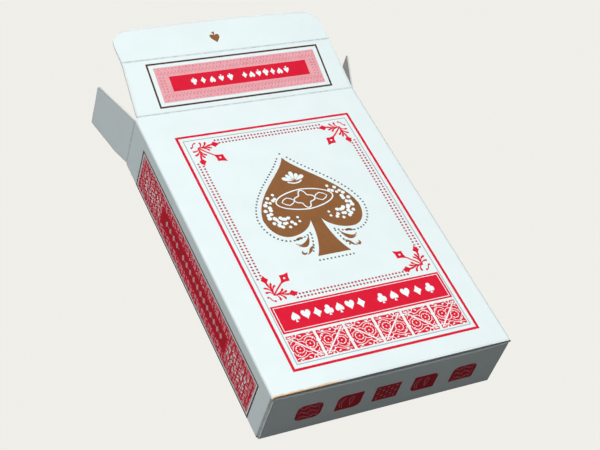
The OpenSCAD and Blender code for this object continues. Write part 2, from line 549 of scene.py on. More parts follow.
class Nodes:
    """Short calls for building a node tree."""

    def __init__(self, tree: bpy.types.NodeTree) -> None:
        """Keeps the tree and empties it."""
        self.tree = tree
        tree.nodes.clear()

    def add(self, kind: str, inputs: dict | None = None, **settings: object) -> bpy.types.Node:
        """Adds a node, sets its properties and fills or links its inputs.

        Args:
            kind: The node's type name, without the ShaderNode prefix.
            inputs: Input name or number to a value or to an output socket.
            settings: Properties of the node.

        Returns:
            The node.
        """
        node = self.tree.nodes.new(kind if kind.startswith("Node") else "ShaderNode" + kind)
        for key, value in settings.items():
            setattr(node, key, value)
        for key, value in (inputs or {}).items():
            if isinstance(value, bpy.types.NodeSocket):
                self.tree.links.new(value, node.inputs[key])
            else:
                node.inputs[key].default_value = value
        return node

    def maths(self, operation: str, first: object, second: object = 0.0, clamp: bool = False) -> Socket:
        """Adds a Math node and returns its output."""
        node = self.add("Math", {0: first, 1: second}, operation=operation, use_clamp=clamp)
        return node.outputs[0]

    def weighted(self, first: Socket, second: Socket, share: float) -> Socket:
        """Adds the first value times its share to the second times the rest."""
        scaled = (self.maths("MULTIPLY", *pair) for pair in ((first, share), (second, 1 - share)))
        return self.maths("ADD", *scaled)

    def blend(self, amount: object, low: object, high: object) -> Socket:
        """Mixes two colours and returns the result."""
        return self.add("Mix", {0: amount, 6: low, 7: high}, data_type="RGBA").outputs[2]

    def place(self) -> Socket:
        """Adds the Object coordinates and returns them."""
        return self.add("TexCoord").outputs["Object"]

    def noise(self, scale: object, detail: float = 2.0, place: Socket | None = None) -> Socket:
        """Adds noise, its scale in cells per metre, on the place or on Object coordinates."""
        vector = self.place() if place is None else place
        return self.add("TexNoise", {"Vector": vector, "Scale": scale, "Detail": detail}).outputs[0]

    def cells(self, scale: object) -> Socket:
        """Adds the distance to the nearest of scattered points, scale in points per metre."""
        return self.add("TexVoronoi", {"Vector": self.place(), "Scale": scale}).outputs["Distance"]

    def ramp(self, value: Socket, low: float, high: float) -> Socket:
        """Spreads the range low to high over 0 to 1, clamped."""
        return self.add("MapRange", {0: value, 1: low, 2: high, 3: 0.0, 4: 1.0}, clamp=True).outputs[0]

    def surface(self, height: Socket, strength: float, depth: float, inputs: dict) -> None:
        """Adds the surface shader with its bump and links it to the material's output.

        Args:
            height: Height of the bump.
            strength: Strength of the bump.
            depth: Its greatest depth in metres.
            inputs: The shader's other inputs.
        """
        bump = self.add("Bump", {"Height": height, "Strength": strength, "Distance": depth})
        shader = self.add("BsdfPrincipled", {**inputs, "Normal": bump.outputs[0]})
        self.add("OutputMaterial", {"Surface": shader.outputs[0]})


class GroupNodes(Nodes):
    """A node group under construction, whose inputs and outputs are numbers."""

    def __init__(self, name: str, **inputs: float) -> None:
        """Makes the group and its inputs with their usual values.

        Args:
            name: The group's name.
            **inputs: Each input's usual value.
        """
        super().__init__(bpy.data.node_groups.new(name, "ShaderNodeTree"))
        for socket, value in inputs.items():
            self.socket(socket, "INPUT").default_value = value
        self.given = self.add("NodeGroupInput").outputs

    def socket(self, name: str, way: str) -> bpy.types.NodeTreeInterfaceSocket:
        """Makes one number socket of the group."""
        return self.tree.interface.new_socket(name, in_out=way, socket_type="NodeSocketFloat")

    def finish(self, **outputs: Socket) -> bpy.types.NodeTree:
        """Makes and links the outputs, and returns the group.

        Args:
            **outputs: The value of each output.

        Returns:
            The finished group.
        """
        for name in outputs:
            self.socket(name, "OUTPUT")
        self.add("NodeGroupOutput", outputs)
        return self.tree


def paper_grain_group() -> bpy.types.NodeTree:
    """Board grain: fine fibres stretched along one way, cloudy mottle and a surface height.

    Fibre is noise stretched along Y, Mottle is a slow noise, and Height adds the fibres to fine
    speckle.

    Returns:
        The group, whose scales are in cells per metre.
    """
    nodes = GroupNodes("paper_grain", Fibre=5200.0, Cloud=120.0)
    along = nodes.add("Mapping", {"Vector": nodes.place(), "Scale": (1.0, 0.32, 1.0)}).outputs[0]
    fibre = nodes.noise(nodes.given["Fibre"], 3.0, along)
    height = nodes.weighted(fibre, nodes.cells(nodes.given["Fibre"]), 0.7)
    return nodes.finish(Fibre=fibre, Mottle=nodes.noise(nodes.given["Cloud"], 4.0), Height=height)


def wear_and_crease_shade_group() -> bpy.types.NodeTree:
    """Wear near cut edges and painted shade along creases: it fades with distance and is broken up by noise.

    Wear is (1 - distance / reach), cut by a noise whose cells are about a millimetre.

    Returns:
        The group, whose reach is in millimetres and whose patches are in cells per metre.
    """
    nodes = GroupNodes("edge_wear", Reach=0.8, Patches=900.0)
    distance = nodes.add("Attribute", attribute_name="edge_mm").outputs["Fac"]
    near = nodes.maths("SUBTRACT", 1.0, nodes.maths("DIVIDE", distance, nodes.given["Reach"]), clamp=True)
    patch = nodes.ramp(nodes.noise(nodes.given["Patches"], 3.0), 0.35, 0.65)
    broken = nodes.maths("ADD", 0.35, nodes.maths("MULTIPLY", patch, 0.65))
    return nodes.finish(Wear=nodes.maths("MULTIPLY", near, broken))


def kraft_patch_group() -> bpy.types.NodeTree:
    """Where the bare kraft core shows: Mask is one at the left of the front wall's lower cut edge.

    It fades out along X from 17 to 14 mm left of the middle, lies above 17.1 mm in Z, and its upper
    limit in Y is the cut edge plus the depth times a noise.

    Returns:
        The group, whose depth is in metres.
    """
    cut_edge, inner_end, outer_end, underside = -0.0454, -0.014, -0.017, 0.0171
    nodes = GroupNodes("kraft_patch", Depth=0.00035)
    place = nodes.add("SeparateXYZ", {0: nodes.place()}).outputs
    wander = nodes.maths("MULTIPLY", nodes.noise(900.0, 3.0), 2.0)
    limit = nodes.maths("ADD", cut_edge, nodes.maths("MULTIPLY", nodes.given["Depth"], wander))
    low = nodes.maths("LESS_THAN", place["Y"], limit)
    left = nodes.ramp(place["X"], inner_end, outer_end)
    high = nodes.maths("GREATER_THAN", place["Z"], underside)
    return nodes.finish(Mask=nodes.maths("MULTIPLY", low, nodes.maths("MULTIPLY", left, high)))


def ink_grain_group() -> bpy.types.NodeTree:
    """Printed ink: Density varies with a fine screen of dots and a slow cloud; Height is the film.

    Returns:
        The group, whose scales are in cells per metre.
    """
    nodes = GroupNodes("ink_grain", Screen=3600.0, Cloud=300.0)
    screen = nodes.cells(nodes.given["Screen"])
    density = nodes.weighted(screen, nodes.noise(nodes.given["Cloud"], 3.0), 0.45)
    return nodes.finish(Density=density, Height=screen)


def new_material(name: str) -> tuple[bpy.types.Material, Nodes]:
    """Makes an empty material and returns it with its nodes.

    Args:
        name: The material's name.

    Returns:
        The material and its node calls.
    """
    material = bpy.data.materials.new(name)
    material.use_nodes = True
    return material, Nodes(material.node_tree)


def rgba(colour: Colour, factor: float = 1.0) -> tuple[float, float, float, float]:
    """A colour with alpha one, made lighter or darker by the factor."""
    return (*(min(1.0, part * factor) for part in colour), 1.0)


@dataclass(frozen=True)
class BoardFinish:
    """A face of the board, coated or bare.

    Wear reaches in from the worn edges, and painted shade from the crease lines, by the reach in
    millimetres, at the strength of wear.
    """

    name: str
    colour: Colour
    worn_and_shade: Colour
    roughness: float
    grain: float
    varnish: float
    mottle: float
    reach: float = 0.8
    wear: float = 0.6
    kraft: Colour = (0.74, 0.50, 0.29)

    def build(self, groups: Groups) -> bpy.types.Material:
        """Builds the material from the grain, wear and kraft groups.

        Args:
            groups: The shared node groups by name.

        Returns:
            The material.
        """
        material, nodes = new_material(self.name)
        grain = nodes.add("Group", node_tree=groups["paper_grain"]).outputs
        worn_and_shade = nodes.add("Group", {"Reach": self.reach}, node_tree=groups["edge_wear"]).outputs
        patch = nodes.add("Group", node_tree=groups["kraft_patch"]).outputs
        tone = nodes.ramp(grain["Mottle"], 0.35, 0.65)
        plain = nodes.blend(tone, rgba(self.colour, 1 - self.mottle), rgba(self.colour))
        fibre = nodes.maths("MULTIPLY", nodes.ramp(grain["Fibre"], 0.55, 0.75), self.mottle * 1.5)
        plain = nodes.blend(fibre, plain, rgba(self.worn_and_shade))
        # The amount is wear near cut edges, and painted shade along the crease lines of the moving folds.
        amount = nodes.maths("MULTIPLY", worn_and_shade["Wear"], self.wear)
        colour = nodes.blend(patch["Mask"], nodes.blend(amount, plain, rgba(self.worn_and_shade)), rgba(self.kraft))
        inputs = {
            "Base Color": colour,
            "Roughness": nodes.maths("ADD", self.roughness, nodes.maths("MULTIPLY", amount, 0.25)),
            "Specular IOR Level": 0.4,
            "Coat Weight": self.varnish,
            "Coat Roughness": 0.3,
        }
        nodes.surface(grain["Height"], self.grain, 0.00003, inputs)
        return material


@dataclass(frozen=True)
class CutEdgeFinish:
    """The cut rim of the board: pale layers, and bare kraft core near the lower left corner."""

    name: str = "board_cut_edge"
    pale: Colour = (0.72, 0.74, 0.73)
    dark: Colour = (0.52, 0.53, 0.52)
    kraft: Colour = (0.78, 0.52, 0.30)

    def build(self, groups: Groups) -> bpy.types.Material:
        """Builds the material: streaky layers, with the kraft patch fading out along X.

        Args:
            groups: The shared node groups by name.

        Returns:
            The material.
        """
        material, nodes = new_material(self.name)
        grain = nodes.add("Group", {"Fibre": 9000.0}, node_tree=groups["paper_grain"]).outputs
        patch = nodes.add("Group", {"Depth": 0.001}, node_tree=groups["kraft_patch"]).outputs
        layers = nodes.blend(nodes.ramp(grain["Fibre"], 0.35, 0.7), rgba(self.dark), rgba(self.pale))
        colour = nodes.blend(patch["Mask"], layers, rgba(self.kraft))
        nodes.surface(grain["Height"], 0.8, 0.00005, {"Base Color": colour, "Roughness": 0.85})
        return material


@dataclass(frozen=True)
class InkFinish:
    """A printed ink with a slightly uneven film."""

    full: Colour
    thin: Colour
    roughness: float = 0.5
    gloss: float = 0.12
    sheen: float = 0.03

    def build(self, name: str, groups: Groups) -> bpy.types.Material:
        """Builds the material of the name given from the ink group.

        Args:
            name: The material's name.
            groups: The shared node groups by name.

        Returns:
            The material.
        """
        material, nodes = new_material(name)
        grain = nodes.add("Group", node_tree=groups["ink_grain"]).outputs
        uneven = nodes.maths("MULTIPLY", grain["Density"], 0.15)
        density = nodes.ramp(grain["Density"], 0.25, 0.6)
        inputs = {
            "Base Color": nodes.blend(density, rgba(self.full), rgba(self.thin)),
            "Roughness": nodes.maths("ADD", self.roughness - 0.05, uneven),
            "Specular IOR Level": self.gloss,
            "Coat Weight": self.sheen,
            "Coat Roughness": 0.35,
        }
        nodes.surface(grain["Height"], 0.25, 0.00002, inputs)
        return material


class Finishes:
    """All the carton's materials, each built once."""

    def __init__(self) -> None:
        """Builds the shared node groups and the materials."""
        makers = (paper_grain_group, wear_and_crease_shade_group, kraft_patch_group, ink_grain_group)
        groups = {group.name: group for group in (maker() for maker in makers)}
        coated = BoardFinish(
            "coated_board",
            colour=(0.80, 0.90, 0.905),
            worn_and_shade=(0.58, 0.62, 0.63),
            roughness=0.42,
            grain=0.18,
            varnish=0.12,
            mottle=0.03,
        )
        bare = BoardFinish(
            "bare_board",
            colour=(0.66, 0.67, 0.66),
            worn_and_shade=(0.52, 0.50, 0.46),
            roughness=0.85,
            grain=0.7,
            varnish=0.0,
            mottle=0.10,
        )
        # Its dark second colour is painted shade along the moving creases, and wear at the folds' cut ends.
        creased = BoardFinish(
            "creased_board",
            colour=(0.76, 0.85, 0.86),
            worn_and_shade=(0.36, 0.40, 0.41),
            roughness=0.5,
            grain=0.2,
            varnish=0.08,
            mottle=0.03,
            reach=0.3,
            wear=0.9,
        )
        cut = CutEdgeFinish().build(groups)
        self.wall = BoardFinishes(coated.build(groups), bare.build(groups), cut)
        self.fold = BoardFinishes(creased.build(groups), self.wall.inside, cut)
        inks = {
            Ink.RED: InkFinish((0.66, 0.006, 0.028), (0.72, 0.012, 0.042)),
            Ink.DEEP_RED: InkFinish((0.52, 0.005, 0.018), (0.58, 0.012, 0.03)),
            Ink.CRIMSON: InkFinish((0.38, 0.018, 0.042), (0.46, 0.05, 0.08)),
            Ink.PINK: InkFinish((0.76, 0.30, 0.34), (0.80, 0.40, 0.44)),
            Ink.ROSE: InkFinish((0.62, 0.17, 0.20), (0.68, 0.26, 0.29)),
            Ink.BRONZE: InkFinish((0.225, 0.090, 0.028), (0.275, 0.118, 0.042), 0.45, 0.2, 0.05),
            Ink.DARK_BRONZE: InkFinish((0.060, 0.028, 0.016), (0.09, 0.042, 0.024)),
            Ink.GREY: InkFinish((0.33, 0.38, 0.39), (0.42, 0.47, 0.48)),
            Ink.SLATE: InkFinish((0.085, 0.085, 0.082), (0.13, 0.13, 0.125)),
            Ink.WHITE: InkFinish((0.80, 0.90, 0.905), (0.84, 0.92, 0.925)),
        }
        self.ink = {ink: finish.build(ink.value[0], groups) for ink, finish in inks.items()}
        glue = InkFinish((0.62, 0.55, 0.38), (0.70, 0.64, 0.48), roughness=0.3, gloss=0.5)
        self.glue = glue.build("dried_glue", groups)


# ---------------------------------------------------------------------------------------------
# Sizes
# ---------------------------------------------------------------------------------------------


@dataclass(frozen=True)
class CartonSizes:
    """The carton's sizes in millimetres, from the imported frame.

    The lid's axis is a point as (y, z), the dust flaps' is one as (x, y), and a flap is its low and
    high Z. A fold reaches the same way along the two panels it joins.
    """

    half_width: float
    half_height: float
    depth: float
    board: float
    corner: float
    front_low: float
    back_high: float
    seam_corner: float
    lid_half: float
    lid_axis: Pair
    lid_angle: float
    lid_length: float
    tongue_half: float
    dust_corner: Pair
    top_flap: Pair
    bottom_flap: Pair
    fold_reach: float = 0.45

    @classmethod
    def from_frame(cls, frame: dict) -> "CartonSizes":
        """Reads the sizes from the nodes' boxes and the joints' places.


        Returns:
            The sizes.
        """
        boxes = {name: np.array(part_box(name)) / MM for name in frame["nodes"]}
        joints = {joint["name"]: np.array(joint["pos_m"]) / MM for joint in frame["joints"]}
        hinge, tongue, dust = (joints[name] for name in ("lid_hinge", "tongue_fold", "right_dust_hinge"))
        reach = tongue[1:] - hinge[1:]
        return cls(
            half_width=boxes["right_side_panel"][1][0],
            half_height=-boxes["bottom_panel"][0][1],
            depth=boxes["front_panel"][1][2],
            board=boxes["back_panel"][1][2],
            corner=boxes["left_side_panel"][0][2],
            front_low=boxes["front_panel"][0][1],
            back_high=boxes["back_panel"][1][1],
            seam_corner=boxes["back_panel"][1][0],
            lid_half=boxes["lid_crease"][1][0],
            lid_axis=(hinge[1], hinge[2]),
            lid_angle=math.atan2(reach[1], reach[0]),
            lid_length=float(np.hypot(*reach)),
            tongue_half=boxes["tongue_crease"][1][0],
            dust_corner=(dust[0], dust[1]),
            top_flap=(boxes["left_dust_flap"][0][2], boxes["left_dust_flap"][1][2]),
            bottom_flap=(boxes["bottom_left_dust_flap"][0][2], boxes["bottom_left_dust_flap"][1][2]),
        )


def ride_as(piece: bpy.types.Object, body: str, slot: str, *nodes: str) -> None:
    """Lets a piece ride on a body, hides the nodes it stands for, and logs it.

    Args:
        piece: The piece.
        body: The body it rides on.
        slot: Its material slot in the record; not used.
        *nodes: The CAD nodes it stands for.
    """
    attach(piece, body)
    if nodes:
        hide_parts(*nodes)
    LOG.info("%s rides on %s, %d faces", piece.name, body, len(piece.data.polygons))


@dataclass
class MovingFold:
    """A crease between two bodies: a short strip across the fold's axis, pressed in from outside.

    The strip's middle line is the curve (1-t)^2 A + 2t(1-t) C + t^2 B, where C is the corner on the
    axis and A and B lie one reach away on the two panels. The outside sinks by groove and the inside
    swells by bead, both as exp(-(s / width)^2) of the distance s from the crease's middle. The fold
    finish also paints shade along that middle, darkening its colour there.

    The strip runs along the unit direction along, before and after point away from the axis on the
    two panels, outward is roughly its printed side, and half_spans are its half lengths at A and B.
    """

    node: str
    bodies: tuple[str, str]
    corner: Array
    along: Array
    before: Array
    after: Array
    outward: Array
    half_spans: Pair
    size: CartonSizes
    groove: float = 0.09
    bead: float = 0.10
    width: float = 0.17
    steps: int = 17

    def build(self, finishes: Finishes) -> None:
        """Makes the strip, fixed in the world frame, and hides its node.

        Args:
            finishes: The carton's materials.
        """
        t = np.linspace(0, 1, self.steps)[:, None]
        first, last = (self.corner + way * self.size.fold_reach for way in (self.before, self.after))
        line = (1 - t) ** 2 * first + 2 * t * (1 - t) * self.corner + t**2 * last
        ahead = unit(2 * (1 - t) * (self.corner - first) + 2 * t * (last - self.corner))
        normal = np.cross(self.along, ahead)
        normal *= np.sign(np.sum(normal * self.outward))
        run = np.insert(np.cumsum(np.linalg.norm(np.diff(line, axis=0), axis=1)), 0, 0.0)
        from_line = np.abs(run - run[-1] / 2)[:, None]
        press = np.exp(-((from_line / self.width) ** 2))
        start, end = self.half_spans
        share = 2 * shares(2 * start)[None] - 1
        half = start + (end - start) * t
        middle = line[:, None] + self.along * (half * share)[..., None]
        half_board = self.size.board / 2
        thickness = (half_board - self.groove * press, half_board + self.bead * press)
        name = f"{self.node}_strip"
        # The distance from the crease's middle drives painted shade: the fold finish darkens the middle line.
        piece = board(name, middle, normal[:, None], thickness, finishes.fold, wear=from_line)
        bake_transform(piece)
        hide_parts(self.node)
        LOG.info("%s bends between %s and %s", piece.name, *self.bodies)


# ---------------------------------------------------------------------------------------------
# The tube of four walls
# ---------------------------------------------------------------------------------------------


@dataclass
class Tube:
    """The four walls, the fixed folds between them and the glued seam inside the right wall."""

    size: CartonSizes
    finishes: Finishes
    fold_steps: int = 21
    back_lift: float = 0.03
    seam_width: float = 12.5
    seam_end: float = 4.0
    seam_slant: float = 5.0
    glue_film: float = 0.05
    glue_margin: float = 2.0
    glue_inset: float = 0.4
    glue_wander: float = 0.2
    glue_waves: float = 17.0

    def wall(
        self,
        node: str,
        start: Pair,
        end: Pair,
        y: Pair,
        edges: Edges = NO_EDGES,
        slant: float = 0.0,
        lift: float = 0.0,
    ) -> None:
        """Makes a flat wall, printed on the left of the way from start to end.

        Args:
            node: The CAD node it stands for; the piece is named after it.
            start: X and Z of the middle surface at the wall's first long edge.
            end: X and Z of its other long edge.
            y: Lowest and highest Y.
            edges: Which borders are worn: start, end, low and high.
            slant: How much both ends are cut back at the start edge.
            lift: How much the printed face is drawn in, to leave room for ink under the carton.
        """
        low, high = y
        way = np.array(end) - np.array(start)
        width = float(np.linalg.norm(way))
        share = shares(width)[:, None]
        up = shares(high - low)[None]
        cut = slant * (1 - share)
        rows = (low + cut) * (1 - up) + (high - cut) * up
        x, z = (start[axis] + share * way[axis] + 0 * up for axis in (0, 1))
        middle = np.stack([x, rows, z], -1)
        normal = np.array([-way[1], 0, way[0]]) / width
        half = self.size.board / 2
        piece = board(f"{node}_board", middle, normal, (half - lift, half), self.finishes.wall, edges)
        ride_as(piece, "carton", "inside_board" if slant else "printed_board", node)

    def corner_fold(self, node: str, centre: Pair, turn: float, y: Pair, edges: Edges) -> None:
        """Makes a fixed fold along Y, a quarter circle.

        Args:
            node: The CAD node it stands for; the piece is named after it.
            centre: X and Z of the circle's centre.
            turn: Angle in the XZ plane where the quarter circle starts.
            y: Lowest and highest Y.
            edges: Which borders are worn: start, end, low and high.
        """
        angle = turn + np.linspace(0, np.pi / 2, self.fold_steps)
        radial = np.stack([np.cos(angle), np.zeros_like(angle), np.sin(angle)], -1)[:, None]
        rows = y[0] + graded(y[1] - y[0])
        half = self.size.board / 2
        middle = np.array([centre[0], 0, centre[1]]) + radial * (self.size.corner - half)
        middle = middle + Y_AXIS * rows[None, :, None]
        piece = board(f"{node}_board", middle, radial, (half, half), self.finishes.fold, edges)
        ride_as(piece, "carton", "crease_board", node)

    def seam_glue(self, x: float) -> None:
        """Makes the film of glue: a thin sheet whose long borders wander by a sine.

        Args:
            x: X of the film's middle.
        """
        half_length = self.size.half_height - self.seam_end - self.seam_slant
        low, width = self.size.corner + self.glue_margin, self.seam_width - 2 * self.glue_margin
        u, v = np.meshgrid(np.linspace(-1, 1, 60), np.linspace(0, 1, 12), indexing="ij")
        wander = self.glue_wander * np.sin(self.glue_waves * u) * (2 * v - 1)
        y, z = u * (half_length - self.glue_inset * v), low + width * v + wander
        film = BoardFinishes(*(self.finishes.glue,) * 3)
        middle = np.stack([np.full_like(u, x), y, z], -1)
        piece = board("seam_glue_film", middle, X_AXIS, (self.glue_film / 2,) * 2, film)
        ride_as(piece, "carton", "glue", "seam_glue")

    def build(self) -> None:
        """Makes the walls and folds in order round the tube, and then the seam."""
        s = self.size
        half, corner, depth, t = s.half_width, s.corner, s.depth, s.board / 2
        inner, upper = half - corner, depth - corner
        front = (s.front_low, s.lid_axis[0] - s.fold_reach)
        back = (-s.half_height + corner, s.back_high)
        side = (-s.dust_corner[1] + s.fold_reach, s.dust_corner[1] - s.fold_reach)
        seam = (-s.half_height + self.seam_end, s.half_height - self.seam_end)
        seam_x = s.seam_corner + corner - t
        low_edge, high_edge = FIRST_COLUMN, LAST_COLUMN
        flap = ((seam_x, corner + self.seam_width), (seam_x, corner))
        self.wall("front_panel", (-inner, depth - t), (inner, depth - t), front, low_edge)
        self.wall("back_panel", (s.seam_corner, t), (-inner, t), back, high_edge, lift=self.back_lift)
        self.wall("left_side_panel", (-half + t, corner), (-half + t, upper), side)
        self.wall("right_side_panel", (half - t, upper), (half - t, 0), side, LAST_ROW)
        self.wall("seam_flap", *flap, seam, ALL_EDGES, self.seam_slant)
        self.corner_fold("front_left_crease", (-inner, upper), np.pi / 2, front, low_edge)
        self.corner_fold("front_right_crease", (inner, upper), 0.0, front, low_edge)
        self.corner_fold("back_left_crease", (-inner, corner), np.pi, back, high_edge)
        self.corner_fold("seam_crease", (s.seam_corner, corner), 1.5 * np.pi, back, high_edge)
        self.seam_glue(seam_x + t + self.glue_film / 2)


# ---------------------------------------------------------------------------------------------
# The lid and its tongue
# ---------------------------------------------------------------------------------------------


def rising(angle: float) -> Array:
    """The unit direction in the YZ plane at an angle above +Y."""
    return np.array([0.0, math.cos(angle), math.sin(angle)])


@dataclass
class Tongue:
    """The outline of a tuck tongue: a slightly bowed free edge between two round corners."""

    half: float
    length: float = 11.6
    corner: float = 5.0
    bow: float = 0.8

    def columns(self) -> Array:
        """Returns positions across the tongue, closest together in the round corners.

        Returns:
            X of each column, from the left end to the right.
        """
        turn = np.linspace(0, np.pi / 2, 15)
        round_part = self.half - self.corner + self.corner * np.sin(turn)
        flat = np.linspace(0, self.half - self.corner, 12, endpoint=False)[1:]
        right = np.concatenate([flat, round_part])
        return np.concatenate([-right[::-1], [0.0], right])

    def lengths(self, x: Array) -> Array:
        """Returns the length at each x: L - bow (x / half)^2, and in the corner its circle.

        Args:
            x: Positions across the tongue.

        Returns:
            The length from the fold's axis, in the shape of x.
        """
        bowed = self.length - self.bow * (x / self.half) ** 2
        inner = self.half - self.corner
        base = self.length - self.bow * (inner / self.half) ** 2 - self.corner
        past = np.clip(np.abs(x) - inner, 0, self.corner)
        return np.where(np.abs(x) <= inner, bowed, base + np.sqrt(self.corner**2 - past**2))

    def middle(self, start: Array, along: Array, from_fold: float) -> Array:
        """The middle surface of the tongue.

        Args:
            start: A point on the fold's axis at x = 0.
            along: Unit direction from the fold to the free edge, at right angles to X.
            from_fold: Where the surface begins, measured from the axis.

        Returns:
            Points of shape (columns, rows, 3).
        """
        x = self.columns()[:, None]
        share = shares(self.length - from_fold)[None]
        reach = from_fold + (self.lengths(x) - from_fold) * share
        return start + along * reach[..., None] + X_AXIS * x[..., None]


@dataclass
class Lid:
    """The lid, hinged on the front wall, and the tongue that tucks behind the back wall."""

    size: CartonSizes
    finishes: Finishes
    tongue_bend: float = math.radians(10)
    crease_overhang: float = 0.1

    def build(self) -> None:
        """Makes the two folds, the lid's board and the tongue."""
        s, wall = self.size, self.finishes.wall
        half_board = (s.board / 2,) * 2
        hinge = np.array([0.0, *s.lid_axis])
        along = rising(s.lid_angle)
        outward = np.cross(X_AXIS, along)
        tongue_axis = hinge + along * s.lid_length
        tongue_along = rising(s.lid_angle - self.tongue_bend)
        spans = (s.half_width - s.corner + self.crease_overhang, s.lid_half)
        bodies = ("carton", "lid", "tongue")
        ways = (-Y_AXIS, along, outward)
        lid_fold = MovingFold("lid_crease", bodies[:2], hinge, X_AXIS, *ways, spans, s)
        spans = (s.tongue_half, s.tongue_half)
        ways = (-along, tongue_along, outward)
        tongue_fold = MovingFold("tongue_crease", bodies[1:], tongue_axis, X_AXIS, *ways, spans, s)
        for fold in (lid_fold, tongue_fold):
            fold.build(self.finishes)
        length = s.lid_length - 2 * s.fold_reach
        rows = shares(length)[:, None]
        half = s.lid_half + (s.tongue_half - s.lid_half) * rows
        columns = 2 * shares(2 * s.lid_half)[None] - 1
        reach = s.fold_reach + length * rows
        middle = hinge + along * reach[..., None] + X_AXIS * (half * columns)[..., None]
        lid = board("lid_panel_board", middle, outward, half_board, wall, BOTH_COLUMNS)
        ride_as(lid, "lid", "printed_board", "lid_panel")
        middle = Tongue(s.tongue_half).middle(tongue_axis, tongue_along, s.fold_reach)
        normal = np.cross(X_AXIS, tongue_along)
        tongue = board("lid_tongue_board", middle, normal, half_board, wall, CUT_TONGUE)
        ride_as(tongue, "tongue", "printed_board", "lid_tongue")


# ---------------------------------------------------------------------------------------------
# Dust flaps
# ---------------------------------------------------------------------------------------------


@dataclass
class DustFlap:
    """One dust flap on a side wall, with a tapered back edge and a rounded front corner."""

    size: CartonSizes
    finishes: Finishes
    side: Side
    end: End
    length: float = 15.4
    straight: float = 5.0
    taper: float = 2.1
    corner: float = 0.8
    lean: float = math.radians(20)

    def build(self) -> None:
        """Makes the flap's fold and its board."""
        s, side, end = self.size, self.side.value, self.end.value
        prefix = "bottom_" if self.end is End.BOTTOM else ""
        body = f"{prefix}{self.side.name.lower()}_dust"
        low, high = s.bottom_flap if prefix else s.top_flap
        corner = np.array([side * s.dust_corner[0], end * s.dust_corner[1], 0.0])
        sine, cosine = (math.sin(self.lean), math.cos(self.lean)) if self.end is End.TOP else (-1.0, 0.0)
        after = X_AXIS * side * sine + Y_AXIS * cosine
        outward = X_AXIS * side * cosine - Y_AXIS * abs(sine)
        centre = corner + Z_AXIS * (low + high) / 2
        ways = (-Y_AXIS * end, after, outward + X_AXIS * side)
        half_spans = ((high - low) / 2,) * 2
        fold = MovingFold(f"{body}_crease", ("carton", body), centre, Z_AXIS, *ways, half_spans, s)
        fold.build(self.finishes)
        run = s.fold_reach + graded(self.length - s.fold_reach)
        turn = self.length - self.corner * (1 - np.sin(np.linspace(0, np.pi / 2, 9)))
        run = np.union1d(run, turn.round(6))[:, None]
        bottom = low + self.taper * np.clip((run - self.straight) / (self.length - self.straight), 0, 1)
        past = np.clip(run - (self.length - self.corner), 0, self.corner)
        top = high - self.corner + np.sqrt(self.corner**2 - past**2)
        share = shares(high - low)[None]
        z = bottom * (1 - share) + top * share
        middle = corner + after * run[..., None] + Z_AXIS * z[..., None]
        half_board, wall = (s.board / 2,) * 2, self.finishes.wall
        flap = board(f"{body}_flap_board", middle, outward, half_board, wall, CUT_FLAP)
        ride_as(flap, body, "inside_board", f"{body}_flap")


# ---------------------------------------------------------------------------------------------
# The bottom end
# ---------------------------------------------------------------------------------------------


